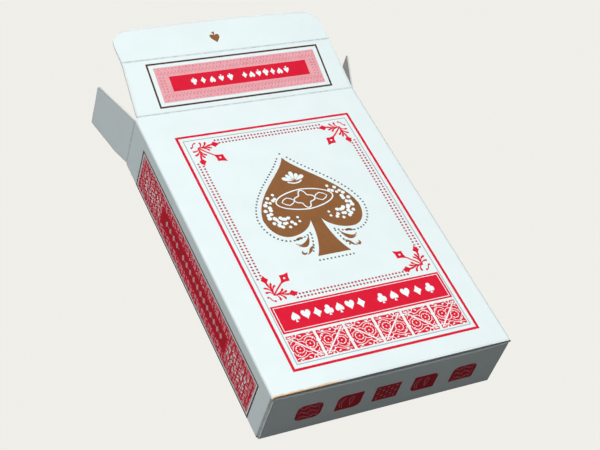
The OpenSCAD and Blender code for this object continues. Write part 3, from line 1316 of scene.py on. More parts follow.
@dataclass
class BottomEnd:
    """The bottom panel, folded up from the back wall, with its tongue tucked behind the front wall.

    The tuck fold isn't sharp: its radius grows from the sides to the middle as
    r = r_side + (r_middle - r_side) (1 - |x / half|^p), so its middle bulges softly.
    """

    size: CartonSizes
    finishes: Finishes
    draw_in: float = 0.04
    side_radius: float = 0.75
    middle_radius: float = 1.5
    power: float = 4.0
    arc_steps: int = 17
    tuck_gap: float = 0.1
    panel_run: float = 14.0
    tongue_run: float = 10.0

    def tuck_radius(self, x: Array) -> Array:
        """Returns the tuck fold's radius at each x."""
        share = 1 - np.abs(x / self.size.lid_half) ** self.power
        return self.side_radius + (self.middle_radius - self.side_radius) * share

    def arc(self, name: str, node: str, x: Array, radius: Array | float, centre: tuple, turn: float) -> None:
        """Makes a fold along X, a quarter circle whose radius may change along it.

        Args:
            name: The piece's name.
            node: The CAD node it stands for.
            x: Positions along the fold, shape (columns,).
            radius: Outer radius at each x.
            centre: Y and Z of the arc's centre at each x.
            turn: Angle in the YZ plane where the quarter circle starts.
        """
        half = self.size.board / 2
        angle = turn + np.linspace(0, np.pi / 2, self.arc_steps)[:, None] + 0 * x
        radial = np.stack([0 * angle, np.cos(angle), np.sin(angle)], -1)
        middle = np.stack([x, *(place + 0 * x for place in centre)], -1)
        middle = middle + radial * (radius - half + 0 * x)[None, :, None]
        fold = board(name, middle, radial, (half, half), self.finishes.fold, BOTH_COLUMNS)
        ride_as(fold, "carton", "crease_board", node)

    def build(self) -> None:
        """Makes the back fold, the panel, the tuck fold and the tongue."""
        s, wall = self.size, self.finishes.wall
        half_board = (s.board / 2,) * 2
        wall_y = -s.half_height + self.draw_in
        tuck_z = s.depth - s.board - self.tuck_gap
        x = graded(2 * s.lid_half) - s.lid_half
        tuck = self.tuck_radius(x)
        radius = s.corner - self.draw_in
        centre = (wall_y + radius, s.corner)
        self.arc("bottom_crease_board", "bottom_crease", x, radius, centre, np.pi)
        share = shares(self.panel_run)[:, None]
        z = s.corner * (1 - share) + (tuck_z - tuck) * share
        middle = np.stack([x + 0 * z, wall_y + s.board / 2 + 0 * z, z], -1)
        panel = board("bottom_panel_board", middle, -Y_AXIS, half_board, wall, BOTH_COLUMNS)
        ride_as(panel, "carton", "printed_board", "bottom_panel")
        centre = (wall_y + tuck, tuck_z - tuck)
        self.arc("bottom_tuck_fold_board", "bottom_tongue_crease", x, tuck, centre, np.pi / 2)
        tongue = Tongue(s.tongue_half)
        x = tongue.columns()[:, None]
        share = shares(self.tongue_run)[None]
        last = -s.half_height + s.corner + tongue.lengths(x)
        y = (wall_y + self.tuck_radius(x)) * (1 - share) + last * share
        middle = np.stack([x + 0 * y, y, tuck_z - s.board / 2 + 0 * y], -1)
        piece = board("bottom_tongue_board", middle, Z_AXIS, half_board, wall)
        ride_as(piece, "carton", "printed_board", "bottom_tongue")


# ---------------------------------------------------------------------------------------------
# Printing
# ---------------------------------------------------------------------------------------------


def playing_spade(samples: int = 14) -> Array:
    """The large spade, with its apex at the origin: two lobes and a waisted stem, in millimetres.

    The left half is a chain of cubic curves, and the right half is its reflection.

    Args:
        samples: Points on each cubic curve.

    Returns:
        One outline, from the apex down the left side.
    """
    left = np.array(
        [
            [(0, 0), (-2.0, -5.0), (-12.6, -11.0), (-13.85, -19.3)],
            [(-13.85, -19.3), (-13.85, -23.3), (-11.6, -26.05), (-8.7, -26.05)],
            [(-8.7, -26.05), (-5.6, -26.05), (-2.6, -24.3), (-1.55, -21.9)],
            [(-1.55, -21.9), (-1.75, -26.5), (-2.7, -30.5), (-4.7, -33.4)],
        ]
    )
    half = bezier(left, samples)[:, :-1].reshape(-1, 2)
    half = np.vstack([half, left[-1, -1]])
    return np.vstack([half, (half * [-1, 1])[:0:-1]])


def club(samples: int = 10) -> Array:
    """A club one unit high: three leaves of radius a quarter and a flared stem.

    Args:
        samples: Points on half of the top leaf.

    Returns:
        One outline, from the top down the right side.
    """
    top = np.radians(np.linspace(90, -21, samples))
    side = np.radians(np.linspace(94, -150, 2 * samples))
    half = np.vstack(
        [
            np.stack([0.25 * np.cos(top), 0.25 + 0.25 * np.sin(top)], -1),
            np.stack([0.25 + 0.25 * np.cos(side), -0.09 + 0.25 * np.sin(side)], -1),
            [(0.05, -0.32), (0.16, -0.5)],
        ]
    )
    return np.vstack([half, (half * [-1, 1])[:0:-1]])


def suit_pips() -> list[Array]:
    """The four suits' outlines, each one unit high and centred.

    Returns:
        A spade, a heart, a diamond and a club.
    """
    spade = playing_spade(8)
    spade = (spade - [0, spade[:, 1].min() / 2]) / np.ptp(spade[:, 1])
    return [spade * [0.86, 1.0], heart() * [0.72, 0.92], lozenge(0.44) * [0.72, 1.0], club() * [0.78, 1.0]]


def ring(outline: Array, width: float) -> Array:
    """A closed line of even width along an outline, as one four-sided piece per step.

    Args:
        outline: The line's middle, shape (points, 2).
        width: Its width.

    Returns:
        Outlines of shape (points, 4, 2).
    """
    ahead = unit(np.roll(outline, -1, axis=0) - np.roll(outline, 1, axis=0))
    left = np.stack([-ahead[:, 1], ahead[:, 0]], -1) * width / 2
    return between(outline + left, outline - left)


@dataclass
class PrintFace:
    """A flat face to print on: its origin, its directions across and up, and the body it rides on."""

    name: str
    origin: Array
    across: Array
    up: Array
    body: str
    finishes: Finishes

    def lay(self, part: str, ink: Ink, layer: InkLayer, *outlines: Array) -> None:
        """Prints outlines in one ink as one piece, named after the face and the part.

        Args:
            part: What the piece is.
            ink: The ink.
            layer: Its level above the board.
            outlines: Arrays of outlines, in millimetres across and up from the origin.
        """
        points, faces = joined([prisms(group, layer) for group in outlines])
        axes = np.stack([self.across, self.up, np.cross(self.across, self.up)])
        piece = add_mesh(f"{self.name}_{part}", self.origin + points @ axes, faces, [self.finishes.ink[ink]])
        ride_as(piece, self.body, ink.value[1])

    def pip_row(self, part: str, layer: InkLayer, places: Array, height: float, angle: float = 0.0) -> None:
        """Prints the four suits in turn at the places given, in white."""
        rows = [stamp(pip, places[suit::4], height, angle) for suit, pip in enumerate(suit_pips())]
        self.lay(part, Ink.WHITE, layer, *rows)


@dataclass
class FrontPrint:
    """The front wall's printing: frame, dots, corner sprays, spade, banner and tiles."""

    face: PrintFace
    frame_half: Pair = (25.37, 37.8)
    frame_width: float = 0.72
    inner_gap: float = 1.4
    field_half: float = 23.3
    field_top: float = 35.85
    field_bottom: float = -18.63
    spray_size: float = 8.5
    dot: float = 0.62
    dot_pitch: float = 0.98
    banner: Pair = (-19.43, -27.65)
    tile: Pair = (7.2, 7.4)
    tile_pitch: float = 7.95
    tile_level: float = -32.1
    spade_apex: Pair = (-0.15, 25.9)

    def frame(self) -> None:
        """Prints the thick red frame and the fine grey line inside it."""
        half = self.frame_half
        inner = (half[0] - self.inner_gap, half[1] - self.inner_gap)
        self.face.lay("frame", Ink.RED, InkLayer.FIRST, border(half, self.frame_width))
        self.face.lay("fine_frame", Ink.GREY, InkLayer.FIRST, border(inner, 0.25))

    def dot_rows(self) -> None:
        """Prints the double rows of dots between the corner sprays."""
        half, top, bottom = self.field_half, self.field_top, self.field_bottom
        reach = self.spray_size - 0.7
        levels = (top - 0.55, top - 1.55, bottom + 0.35, bottom + 1.35)
        columns = [side * (half - inset) for side in (-1, 1) for inset in (0.3, 1.4)]
        centres = [dots((-half + reach, y), (half - reach, y), self.dot_pitch) for y in levels]
        centres += [dots((x, bottom + reach), (x, top - reach), self.dot_pitch) for x in columns]
        rows = stamp(disc(8), np.vstack(centres), self.dot)
        self.face.lay("dot_rows", Ink.CRIMSON, InkLayer.FIRST, rows)

    def spray(self) -> dict[str, list[Array]]:
        """One corner spray in a square whose outer corner is the origin, as marks by layer.

        A tendril is a cubic curve from the root, and the other half's tendrils mirror these in the
        diagonal.

        Returns:
            Outlines by piece name, from the lowest layer up.
        """
        root = np.array([2.3, 2.3])
        ends = np.array([(3.3, 0.45), (4.9, 0.5), (6.4, 1.85), (6.1, 3.1), (5.2, 3.9)])
        way = np.radians([-125, -85, 0, 40, 70])[:, None]
        span = np.linalg.norm(ends - root, axis=1, keepdims=True)
        leave = span * [0.48, 0.10]
        arrive = span * 0.34 * np.hstack([np.cos(way), np.sin(way)])
        curves = np.stack([root + 0 * ends, root + leave, ends - arrive, ends], 1)
        fan = bezier(np.concatenate([curves, curves[..., ::-1]]), 12)
        share = np.linspace(0, 1, 12)
        widths = (0.24 + 0.78 * share**3) * np.sqrt(1.001 - np.clip(share * 3 - 2, 0, 1) ** 2)
        stem = bezier([root, (3.2, 3.3), (4.4, 4.4), (5.9, 5.7)], 10)
        hook = bezier([(0.6, 2.0), (1.5, 1.9), (0.8, 0.9), (2.0, 0.6)], 9)
        kites = stamp(lozenge(0.43) * [1.0, 1.5], [(1.85, 7.2), (7.2, 1.85)], 2.0, [0.0, np.pi / 2])
        kite = stamp(lozenge(0.43) * [1.0, 1.4], [(7.0, 6.7)], 3.0, -np.pi / 4)
        knobs = stamp(disc(8), hook[[0, -1]], 0.62)
        return {
            "sprays": [stroke(fan, widths), stroke(stem, 0.42), stroke(hook, 0.3), knobs],
            "spray_kites": [kites, kite],
            "spray_eyes": [stamp(disc(8), [(6.95, 6.65)], 0.6)],
        }

    def sprays(self) -> None:
        """Prints the spray in the four corners of the field."""
        levels = ((self.field_top, -1), (self.field_bottom, 1))
        corners = [((-flip * self.field_half, y), (flip, turn)) for flip in (1, -1) for y, turn in levels]
        inks = (Ink.RED, Ink.RED, Ink.WHITE)
        for (part, shapes), ink, layer in zip(self.spray().items(), inks, InkLayer):
            placed = [shape * flips + corner for corner, flips in corners for shape in shapes]
            self.face.lay(part, ink, layer, *placed)

    def banner_plate(self) -> None:
        """Prints the red banner with its fine pale line and two groups of pips."""
        top, bottom = self.banner
        centre, half = (top + bottom) / 2, (self.field_half + 0.3, (top - bottom) / 2)
        self.face.lay("banner", Ink.RED, InkLayer.FIRST, plate((0, centre), half))
        line = border((half[0] - 0.6, half[1] - 0.6), 0.18, (0, centre))
        self.face.lay("banner_line", Ink.WHITE, InkLayer.SECOND, line)
        places = np.array([(x, centre) for x in (*np.linspace(-18.6, -0.6, 7), *np.linspace(5.2, 19.0, 5))])
        self.face.pip_row("banner_pips", InkLayer.SECOND, places, 3.1)

    def tile_marks(self) -> dict[str, list[Array]]:
        """One tile's marks on its middle: a diagonal branch, two flowers and curling leaves.

        Returns:
            Outlines by kind of mark, from the lowest layer up.
        """

        def turned(shapes: Array) -> Array:
            """The shapes and a copy of them turned half way round."""
            return np.concatenate([shapes, -shapes])

        branch = stroke(np.stack([np.linspace(-3.3, 3.3, 7), np.linspace(3.35, -3.35, 7)], -1), 0.34)
        flowers = np.array([(-1.55, -0.5), (1.55, 0.5)])
        curls = bezier(
            [
                [(-3.3, -0.4), (-2.9, 1.4), (-1.4, 1.3), (-0.9, 0.6)],
                [(-3.2, -1.2), (-3.3, -2.8), (-1.2, -2.9), (-0.4, -1.6)],
                [(-3.3, -3.1), (-2.2, -2.6), (-1.3, -3.3), (-0.3, -2.5)],
                [(-0.3, -2.5), (0.6, -1.8), (1.2, -2.4), (1.9, -3.3)],
                [(-0.3, -1.2), (0.4, -1.9), (1.1, -1.6), (1.9, -1.4)],
                [(-3.3, 1.2), (-2.6, 2.6), (-1.5, 2.0), (-1.9, 1.1)],
                [(-3.2, 3.2), (-2.4, 3.3), (-2.0, 2.8), (-1.2, 2.6)],
                [(0.9, -3.4), (1.4, -2.5), (2.6, -2.9), (3.2, -2.1)],
            ],
            9,
        )
        # the place, the length and the turn in degrees of each leaf
        stalks = np.array(
            [
                (-2.9, 1.9, 0.85, 25),
                (-3.1, -2.2, 0.75, -50),
                (-1.5, -3.3, 0.85, 80),
                (0.5, -3.4, 0.85, 60),
                (0.5, -2.3, 0.65, -70),
                (-2.1, -2.1, 0.55, 120),
                (-0.4, -0.9, 0.65, -150),
            ]
        )
        leaves = stamp(drop(), stalks[:, :2], stalks[:, 2], np.radians(stalks[:, 3]))
        small = stamp(disc(6), [(-3.2, 0.6), (-0.9, -2.1), (1.3, -2.7), (2.6, -3.3), (-2.4, -2.9)], 0.26)
        corners = [(-3.55, 2.6), (-1.9, 3.55), (-3.55, -1.0), (0.9, -3.6), (-2.6, -3.6)]
        notches = stamp(lozenge(), corners, [0.6, 0.6, 0.7, 0.6, 0.6])
        curls = stroke(curls, 0.17)
        return {
            "pale": [
                branch[None],
                stamp(disc(20), flowers, 2.3),
                *(turned(shapes) for shapes in (curls, leaves, small, notches)),
            ],
            "red": [stamp(rosette(7, 0.20, 42), flowers, 2.06, 0.3)],
            "eye": [stamp(disc(6), flowers, 0.4)],
        }

    def tiles(self) -> None:
        """Prints the row of six tiles, every second one mirrored.

        A tile is a rectangle whose border goes in and out by a hair as a sine.
        """
        across = (np.arange(6) - 2.5) * self.tile_pitch
        centres = np.stack([across, np.full(6, self.tile_level)], -1)
        way = np.linspace(-1, 1, 13)[:-1]
        lower = np.stack([way, 0 * way - 1], -1)
        right = np.stack([0 * way + 1, way], -1)
        square = np.vstack([lower, right, -lower, -right])
        edge = 0.012 * np.sin(np.linspace(0, 2 * np.pi, 48, endpoint=False) * 12)
        square = square * np.array(self.tile) / 2 * (1 + edge[:, None])
        self.face.lay("tiles", Ink.RED, InkLayer.FIRST, stamp(square, centres, 1.0))
        flips = [(1, 1), (-1, 1)] * 3
        inks = (Ink.WHITE, Ink.RED, Ink.WHITE)
        for (part, shapes), ink, layer in zip(self.tile_marks().items(), inks, list(InkLayer)[1:]):
            placed = [shape * flip + centre for centre, flip in zip(centres, flips) for shape in shapes]
            self.face.lay(f"tile_{part}_marks", ink, layer, *placed)

    def spade(self) -> None:
        """Prints the bronze spade and the dotted line that follows it outside.

        The line keeps only the points that stay clear of the whole outline.
        """
        outline = playing_spade() + self.spade_apex
        self.face.lay("spade", Ink.BRONZE, InkLayer.FIRST, outline)
        ahead = unit(np.roll(outline, -1, axis=0) - np.roll(outline, 1, axis=0))
        away = outline + np.stack([ahead[:, 1], -ahead[:, 0]], -1) * 1.35
        clear = np.linalg.norm(away[:, None] - outline[None], axis=-1).min(axis=1) > 1.2
        path = evenly_along(away[clear], 1.08)
        clear = np.linalg.norm(path[:, None] - outline[None], axis=-1).min(axis=1) > 1.0
        self.face.lay("spade_dots", Ink.SLATE, InkLayer.FIRST, stamp(disc(8), path[clear], 0.56))

    def spade_marks(self) -> None:
        """Prints the pale ornament on the spade: a fan, a cartouche and two leafy wreaths.

        The cartouche is an oval with pointed ends, the knot a round line with four lobes, and a
        wreath is pairs of three-lobed leaves on both sides of a cubic curve, their sizes and gaps
        varied by sines of their number.
        """
        apex = np.array(self.spade_apex)
        root = apex + [0, -8.6]
        turn = np.radians([-62, -32, 0, 32, 62])
        feet = root + 0.4 * np.stack([-np.sin(turn), np.cos(turn)], -1)
        fan = stamp(drop() * [0.85, 1.0], feet, [3.1, 2.6, 3.1, 2.6, 3.1], turn)
        bow = stroke(bezier([(-2.0, 0.1), (-0.9, -0.9), (0.9, -0.9), (2.0, 0.1)]) + root, 0.42)[None]
        self.face.lay("spade_fan", Ink.WHITE, InkLayer.SECOND, fan, bow)
        middle = apex + [0, -14.9]
        angle = np.linspace(0, 2 * np.pi, 60, endpoint=False)
        drawn_in = np.sign(np.cos(angle)) * np.abs(np.cos(angle)) ** 1.25
        cartouche = np.stack([8.1 * drawn_in, 3.4 * np.sin(angle)], -1)
        knot = polar(2.35 * (1 + 0.26 * np.cos(4 * np.linspace(0, 2 * np.pi, 48, endpoint=False))))
        self.face.lay("spade_cartouche", Ink.WHITE, InkLayer.SECOND, ring(cartouche + middle, 0.36))
        side_rings = [ring(lozenge(0.6) * [3.6, 2.6] + middle + [x, 0], 0.30) for x in (-4.7, 4.7)]
        self.face.lay("spade_knot", Ink.WHITE, InkLayer.THIRD, ring(knot + middle, 0.34), *side_rings)
        wreath = bezier([(-7.9, -12.6), (-13.4, -14.5), (-12.4, -26.0), (-4.5, -21.0)], 13)
        ahead = unit(np.gradient(wreath, axis=0))
        inward = np.stack([-ahead[:, 1], ahead[:, 0]], -1)
        lean = np.arctan2(ahead[:, 1], ahead[:, 0])
        count = np.arange(13)
        grow = 0.85 + 0.35 * np.sin(0.2 + 0.24 * count) + 0.12 * np.sin(2.4 * count)
        along = ahead * 0.3 * np.cos(2.1 * count)[:, None]
        spread = along + inward * (0.6 + 0.15 * np.sin(2.1 * count))[:, None]
        leaf, fruit = rosette(3, 0.14, 18), slice(7, 12)
        pairs = [stamp(leaf, wreath + spread * side, grow, lean + side) for side in (1, -1)]
        berries = stamp(leaf, wreath[fruit] + inward[fruit] * 2.0, 1.1, lean[fruit])
        leaves = np.concatenate([*pairs, berries])
        self.face.lay("spade_wreaths", Ink.WHITE, InkLayer.SECOND, mirrored(leaves + apex, apex[0]))

    def scrolls(self) -> None:
        """Prints the small bronze scrolls between the lobes and the stem."""
        apex = np.array(self.spade_apex)
        paths = bezier(
            [
                [(-8.6, -27.6), (-7.6, -26.9), (-6.4, -27.0), (-5.9, -26.9)],
                [(-8.7, -28.4), (-7.2, -30.2), (-5.2, -28.6), (-4.3, -26.7)],
                [(-8.2, -29.3), (-6.4, -30.4), (-5.6, -29.2), (-4.6, -27.7)],
                [(-7.2, -32.3), (-5.5, -31.9), (-5.9, -30.3), (-4.1, -30.0)],
                [(-7.9, -30.9), (-8.6, -31.6), (-7.6, -32.5), (-7.0, -31.6)],
            ],
            12,
        )
        swell = 0.15 + 0.62 * np.sin(np.linspace(0.15, np.pi - 0.25, 12)) ** 2
        leaves = mirrored(stroke(paths, swell) + apex, apex[0])
        self.face.lay("scrolls", Ink.BRONZE, InkLayer.FIRST, leaves)

    def build(self) -> None:
        """Prints everything on the front."""
        self.frame()
        self.dot_rows()
        self.sprays()
        self.banner_plate()
        self.tiles()
        self.spade()
        self.spade_marks()
        self.scrolls()


@dataclass
class LidPrint:
    """The lid's printing, upside down to the front's: a bronze line, a pink band and a red plate."""

    face: PrintFace
    centre: float = 8.4
    frame_half: Pair = (25.6, 6.65)
    band_half: Pair = (24.1, 5.4)
    plate_half: Pair = (20.5, 2.35)

    def build(self) -> None:
        """Prints the frame, the band, its ornament, the plate and the pips."""
        middle = (0.15, self.centre)
        self.face.lay("frame", Ink.DARK_BRONZE, InkLayer.FIRST, border(self.frame_half, 0.52, middle))
        self.face.lay("band", Ink.PINK, InkLayer.FIRST, plate(middle, self.band_half))
        marks = []
        for sign, turn in ((-1, 0.0), (1, np.pi)):
            places = grid_points(np.linspace(-23.3, 23.3, 47), [3.9 * sign]) + middle
            marks += [
                stamp(drop() * [0.8, 1.0], places + [0, 0.35 * sign], 0.95, turn),
                stamp(lozenge(0.5) * [0.55, 1.0], places[::2] + [0.5, 0.85 * sign], 0.85),
                stamp(disc(6), places[1::2] + [0.5, sign], 0.38),
                stamp(lozenge() * [0.5, 1.0], places + [0.5, -0.75 * sign], 0.8),
            ]
        ends = grid_points(np.linspace(-2.2, 2.2, 6), [-23.1, -22.1, 22.1, 23.1])[:, ::-1] + middle
        marks.append(stamp(lozenge(0.5) * [1.0, 0.55], ends, 0.85, 0.5))
        self.face.lay("band_marks", Ink.ROSE, InkLayer.SECOND, *marks)
        self.face.lay("plate", Ink.RED, InkLayer.SECOND, plate(middle, self.plate_half))
        across = np.concatenate([np.linspace(13.9, 1.1, 7), np.linspace(-3.2, -13.9, 5)])
        places = np.stack([across, 0 * across], -1) + middle
        self.face.pip_row("plate_pips", InkLayer.THIRD, places, 2.15, np.pi)


@dataclass
class SidePrint:
    """A side wall's printing: a dark line, a dense red field and a plate with a row of lozenges."""

    face: PrintFace
    centre: Pair = (1.15, -1.6)
    frame_half: Pair = (37.95, 6.35)
    field_half: Pair = (37.15, 5.55)
    plate_half: Pair = (20.9, 2.2)

    def build(self) -> None:
        """Prints the frame, the field, its specks, the paler end blocks, the plate and its marks.

        The specks are kites on a grid, moved, sized and turned by sines of their number.
        """
        middle = np.array(self.centre)
        self.face.lay("frame", Ink.DARK_BRONZE, InkLayer.FIRST, border(self.frame_half, 0.5, self.centre))
        self.face.lay("field", Ink.RED, InkLayer.FIRST, plate(self.centre, self.field_half))
        place = grid_points(np.arange(-36.8, 36.9, 0.92), np.arange(-5.0, 5.1, 0.91))
        count = np.arange(len(place))
        place = place + np.stack([np.sin(2.4 * count), np.cos(3.7 * count)], -1) * 0.18
        place = place[(np.abs(place[:, 1]) > 2.85) | (np.abs(place[:, 0]) > 21.6)]
        count = np.arange(len(place))
        size, turn = 0.957 + 0.319 * np.sin(5.1 * count), 2.4 * count
        from_block = np.abs(np.abs(place[:, 0]) - 28.5)
        blocks = (from_block < 5.8) & (np.abs(place[:, 1]) < 3.1) & (np.sin(1.9 * count) > -0.4)
        kite = lozenge(0.5) * [0.62, 1.0]
        for part, ink, chosen in (("field_marks", Ink.PINK, ~blocks), ("block_marks", Ink.WHITE, blocks)):
            marks = stamp(kite, place[chosen] + middle, size[chosen], turn[chosen])
            self.face.lay(part, ink, InkLayer.SECOND, marks)
        self.face.lay("plate", Ink.DEEP_RED, InkLayer.SECOND, plate(self.centre, self.plate_half))
        rows = ((-18.0, -9.4, 2.4), (-6.6, 1.4, 2.4), (3.0, 18.5, 2.2))
        x = np.concatenate([np.arange(*row) for row in rows])
        kites = stamp(lozenge(0.55) * [0.72, 1.0], grid_points(x, [0]) + middle, 2.0)
        points = stamp(disc(6), grid_points(x[:-1] + 1.15, [0]) + middle, 0.42)
        self.face.lay("plate_marks", Ink.PINK, InkLayer.THIRD, kites, points)


@dataclass
class BottomPrint:
    """The bottom panel's printing: five square ornaments in deep red."""

    face: PrintFace
    size: Pair = (6.9, 6.0)
    round_radius: float = 1.7
    sharp_radius: float = 0.25

    def square(self, round_corners: tuple[int, ...]) -> Array:
        """A rectangle with a quarter circle at each corner.

        Args:
            round_corners: Corners with the large radius, anticlockwise from 0 at the lower left.

        Returns:
            One outline, shape (24, 2).
        """
        points = []
        for number, corner in enumerate(plate((0, 0), (1, 1))):
            radius = self.round_radius if number in round_corners else self.sharp_radius
            angle = np.pi * (1 + number / 2) + np.linspace(0, np.pi / 2, 6)
            arc = radius * np.stack([np.cos(angle), np.sin(angle)], -1)
            points.append(corner * (np.array(self.size) / 2 - radius) + arc)
        return np.vstack(points)

    def build(self) -> None:
        """Prints the five squares and the pale ornament on each.

        The outer squares have waves and specks, the middle one a lattice of lozenges, and the two
        between them a drop beside two bowed lines.
        """
        centres = np.array([(-20.9, -0.45), (-10.1, -0.4), (0.2, -0.35), (10.8, -0.3), (22.1, -0.25)])
        outer, inner, middle = centres[[0, 4]], centres[[1, 3]], centres[2]
        rounds = [(0, 1, 2, 3), (1, 3), (), (0, 2), (2, 3)]
        squares = [self.square(corners)[None] + centre for corners, centre in zip(rounds, centres)]
        self.face.lay("squares", Ink.DEEP_RED, InkLayer.FIRST, *squares)
        x, level = np.linspace(-2.8, 2.8, 25), np.array([-1.9, 0.0, 1.9])[:, None]
        waves = np.stack([x + 0 * level, level + 0.42 * np.sin(2.2 * x + level)], -1)
        lattice = grid_points([-2.4, -1.2, 0, 1.2, 2.4], [-2.0, -1.0, 0, 1.0, 2.0])
        lozenges, specks = lattice[::2], lattice[1::2]
        marks = [stamp(lozenge(0.5), lozenges + middle, 0.85), stamp(disc(6), specks + middle, 0.3)]
        marks += [stamp(disc(6), specks + centre, 0.36) for centre in outer]
        marks += [stroke(waves + centre, 0.26) for centre in outer]
        marks += [ring(drop(24) * [2.2, 3.6] + centre + [0.5, -1.8], 0.24) for centre in inner]
        bow = np.array([(-1.6, -2.2), (-2.1, 0), (-1.4, 2.2)])
        bows = (bow, bow * [1.35, 0.8])
        marks += [stroke(line + centre, 0.24) for centre in inner for line in bows]
        self.face.lay("square_marks", Ink.ROSE, InkLayer.SECOND, *marks)


@dataclass
class BackPrint:
    """The back wall's printing: a red frame round a lattice, like the back of a card."""

    face: PrintFace
    frame_half: Pair = (26.5, 39.0)
    frame_gap: float = 1.8
    pitch: Pair = (5.0, 6.8)

    def build(self) -> None:
        """Prints the double frame, and a lattice of lozenges with flowers in them and studs between."""
        outer = np.array(self.frame_half)
        frames = (border(outer, 0.9), border(outer - self.frame_gap, 0.3))
        self.face.lay("frame", Ink.RED, InkLayer.FIRST, *frames)
        pitch = np.array(self.pitch)
        place = grid_points(np.arange(-4, 5), np.arange(-5, 6)) * pitch
        gaps = grid_points(np.arange(-4, 4), np.arange(-5, 5)) * pitch + pitch / 2
        outline = lozenge(0.5) * pitch * 0.92
        lines = np.concatenate([ring(outline + centre, 0.28) for centre in place])
        self.face.lay("lattice", Ink.RED, InkLayer.FIRST, lines)
        self.face.lay("flowers", Ink.RED, InkLayer.SECOND, stamp(rosette(4, 0.45), place, 2.4, np.pi / 4))
        self.face.lay("studs", Ink.BRONZE, InkLayer.SECOND, stamp(lozenge(0.5), gaps, 1.3))


@dataclass
class Printing:
    """All the printed faces of the carton."""

    size: CartonSizes
    finishes: Finishes
    sideways: float = 0.56
    front_level: float = -2.0
    bottom_level: float = 8.05
    mark_place: Pair = (-2.8, 5.2)
    mark_height: float = 4.0

    def face(self, name: str, origin: Array, across: Array, up: Array, body: str = "carton") -> PrintFace:
        """Sets out a face to print on."""
        return PrintFace(name, np.array(origin, float), across, up, body, self.finishes)

    def build(self) -> None:
        """Sets out the faces and prints each one."""
        s = self.size
        t = s.board / 2
        lid_up, tongue_up = rising(s.lid_angle), rising(s.lid_angle - Lid.tongue_bend)
        hinge = np.array([self.sideways, *s.lid_axis])
        tongue = hinge + lid_up * s.lid_length
        origin = (self.sideways, self.front_level, s.depth)
        FrontPrint(self.face("front", origin, X_AXIS, Y_AXIS)).build()
        origin = hinge + np.cross(X_AXIS, lid_up) * t
        LidPrint(self.face("lid", origin, X_AXIS, lid_up, "lid")).build()
        origin = tongue + np.cross(X_AXIS, tongue_up) * t
        mark = stamp(suit_pips()[0], [self.mark_place], self.mark_height, np.pi)
        face = self.face("tongue", origin, X_AXIS, tongue_up, "tongue")
        face.lay("mark", Ink.BRONZE, InkLayer.FIRST, mark)
        for side in Side:
            way, (shift, level) = side.value, SidePrint.centre
            origin = (way * s.half_width, 0.0, s.depth / 2)
            face = self.face(f"{side.name.lower()}_side", origin, way * Y_AXIS, Z_AXIS)
            SidePrint(face, (-way * shift, level)).build()
        origin = (0.0, -s.half_height + BottomEnd.draw_in, self.bottom_level)
        BottomPrint(self.face("bottom", origin, X_AXIS, Z_AXIS)).build()
        BackPrint(self.face("back", (0.0, 0.0, Tube.back_lift), -X_AXIS, Y_AXIS)).build()


# ---------------------------------------------------------------------------------------------
# The studio
# ---------------------------------------------------------------------------------------------


@dataclass(frozen=True)
class Lamp:
    """A round area light, with its place and size in metres and its power in watts."""

    name: str
    place: tuple[float, float, float]
    size: float
    power: float
    colour: Colour = (1.0, 1.0, 1.0)

    def build(self, target: Vector) -> None:
        """Makes the light, facing the target.

        Args:
            target: The point it faces.
        """
        data = bpy.data.lights.new(self.name, "AREA")
        data.shape, data.size, data.energy, data.color = "DISK", self.size, self.power, self.colour
        lamp = bpy.data.objects.new(self.name, data)
        turn = (target - Vector(self.place)).to_track_quat("-Z", "Y").to_matrix()
        lamp.matrix_world = Matrix.Translation(self.place) @ turn.to_4x4()
        bpy.context.scene.collection.objects.link(lamp)


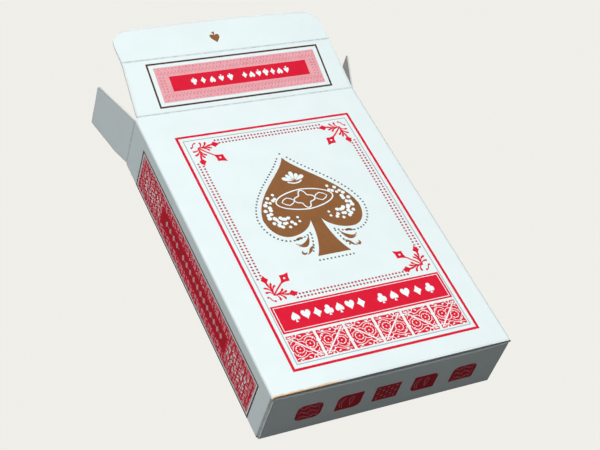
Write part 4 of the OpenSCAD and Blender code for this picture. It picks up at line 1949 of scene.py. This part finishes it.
@dataclass(frozen=True)
class Studio:
    """A pale floor, soft lights and the camera, with places in metres and angles in degrees."""

    lens: float = 82.4
    camera_place: tuple[float, float, float] = (-0.15581, -0.18634, 0.26450)
    camera_azimuth: float = 38.91
    camera_elevation: float = 45.72
    camera_roll: float = 19.53
    floor_half: float = 2.5
    floor_seen: Colour = (0.871, 0.863, 0.823)
    floor_bounce: float = 0.12
    lamps: tuple[Lamp, ...] = (
        Lamp("key", (-0.42, 0.0, 1.15), 0.6, 15.4),
        Lamp("left_fill", (-1.0, 0.35, 0.45), 0.8, 1.0, (0.95, 0.98, 1.0)),
        Lamp("right_fill", (1.0, 0.2, 0.40), 0.8, 1.3, (0.97, 0.99, 1.0)),
    )
    lit_point: tuple[float, float, float] = (0.0, 0.01, 0.01)
    sky: float = 0.085

    def camera(self) -> None:
        """Makes the camera: level first, then turned about its own axis by the roll."""
        azimuth, elevation = math.radians(self.camera_azimuth), math.radians(self.camera_elevation)
        level = math.cos(elevation)
        ahead = Vector((math.sin(azimuth) * level, math.cos(azimuth) * level, -math.sin(elevation)))
        data = bpy.data.cameras.new("camera")
        data.lens = self.lens
        data.clip_start, data.clip_end = 0.01, 20.0
        camera = bpy.data.objects.new("camera", data)
        roll = Matrix.Rotation(math.radians(self.camera_roll), 3, "Z")
        turn = ahead.to_track_quat("-Z", "Y").to_matrix() @ roll
        camera.matrix_world = Matrix.Translation(self.camera_place) @ turn.to_4x4()
        bpy.context.scene.collection.objects.link(camera)
        bpy.context.scene.camera = camera

    def floor(self) -> None:
        """Makes the floor: an even pale tone to the eye, and a plain grey in what it throws back."""
        corners = plate((0, 0), (self.floor_half / MM,) * 2)
        points = np.column_stack([corners, np.zeros(4)])
        material, nodes = new_material("studio_floor")
        seen = nodes.add("LightPath").outputs["Is Camera Ray"]
        cloud = nodes.blend(nodes.noise(6.0), rgba(self.floor_seen, 0.995), rgba(self.floor_seen))
        bounce = nodes.add("BsdfPrincipled", {"Base Color": rgba((self.floor_bounce,) * 3), "Roughness": 0.9})
        glow = nodes.add("Emission", {"Color": cloud, "Strength": 1.0})
        mixed = nodes.add("MixShader", {0: seen, 1: bounce.outputs[0], 2: glow.outputs[0]})
        nodes.add("OutputMaterial", {"Surface": mixed.outputs[0]})
        add_mesh("studio_floor", points, [[0, 1, 2, 3]], [material])

    def light(self) -> None:
        """Makes the area lights, each facing the carton, and the even sky."""
        for lamp in self.lamps:
            lamp.build(Vector(self.lit_point))
        world = bpy.data.worlds.new("studio_sky")
        world.use_nodes = True
        background = world.node_tree.nodes["Background"]
        background.inputs["Color"].default_value = (1.0, 1.0, 1.0, 1.0)
        background.inputs["Strength"].default_value = self.sky
        bpy.context.scene.world = world

    def build(self) -> None:
        """Makes the camera, the floor and the lights."""
        self.camera()
        self.floor()
        self.light()
        bpy.context.scene.view_settings.view_transform = "Standard"


def main() -> None:
    """Builds the carton round the frame, part by part."""
    logging.basicConfig(level=logging.INFO, format="%(name)s: %(message)s")
    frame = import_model()
    size = CartonSizes.from_frame(frame)
    finishes = Finishes()
    Studio().build()
    Tube(size, finishes).build()
    Lid(size, finishes).build()
    for end in End:
        for side in Side:
            DustFlap(size, finishes, side, end).build()
    BottomEnd(size, finishes).build()
    Printing(size, finishes).build()


if __name__ == "__main__":
    main()
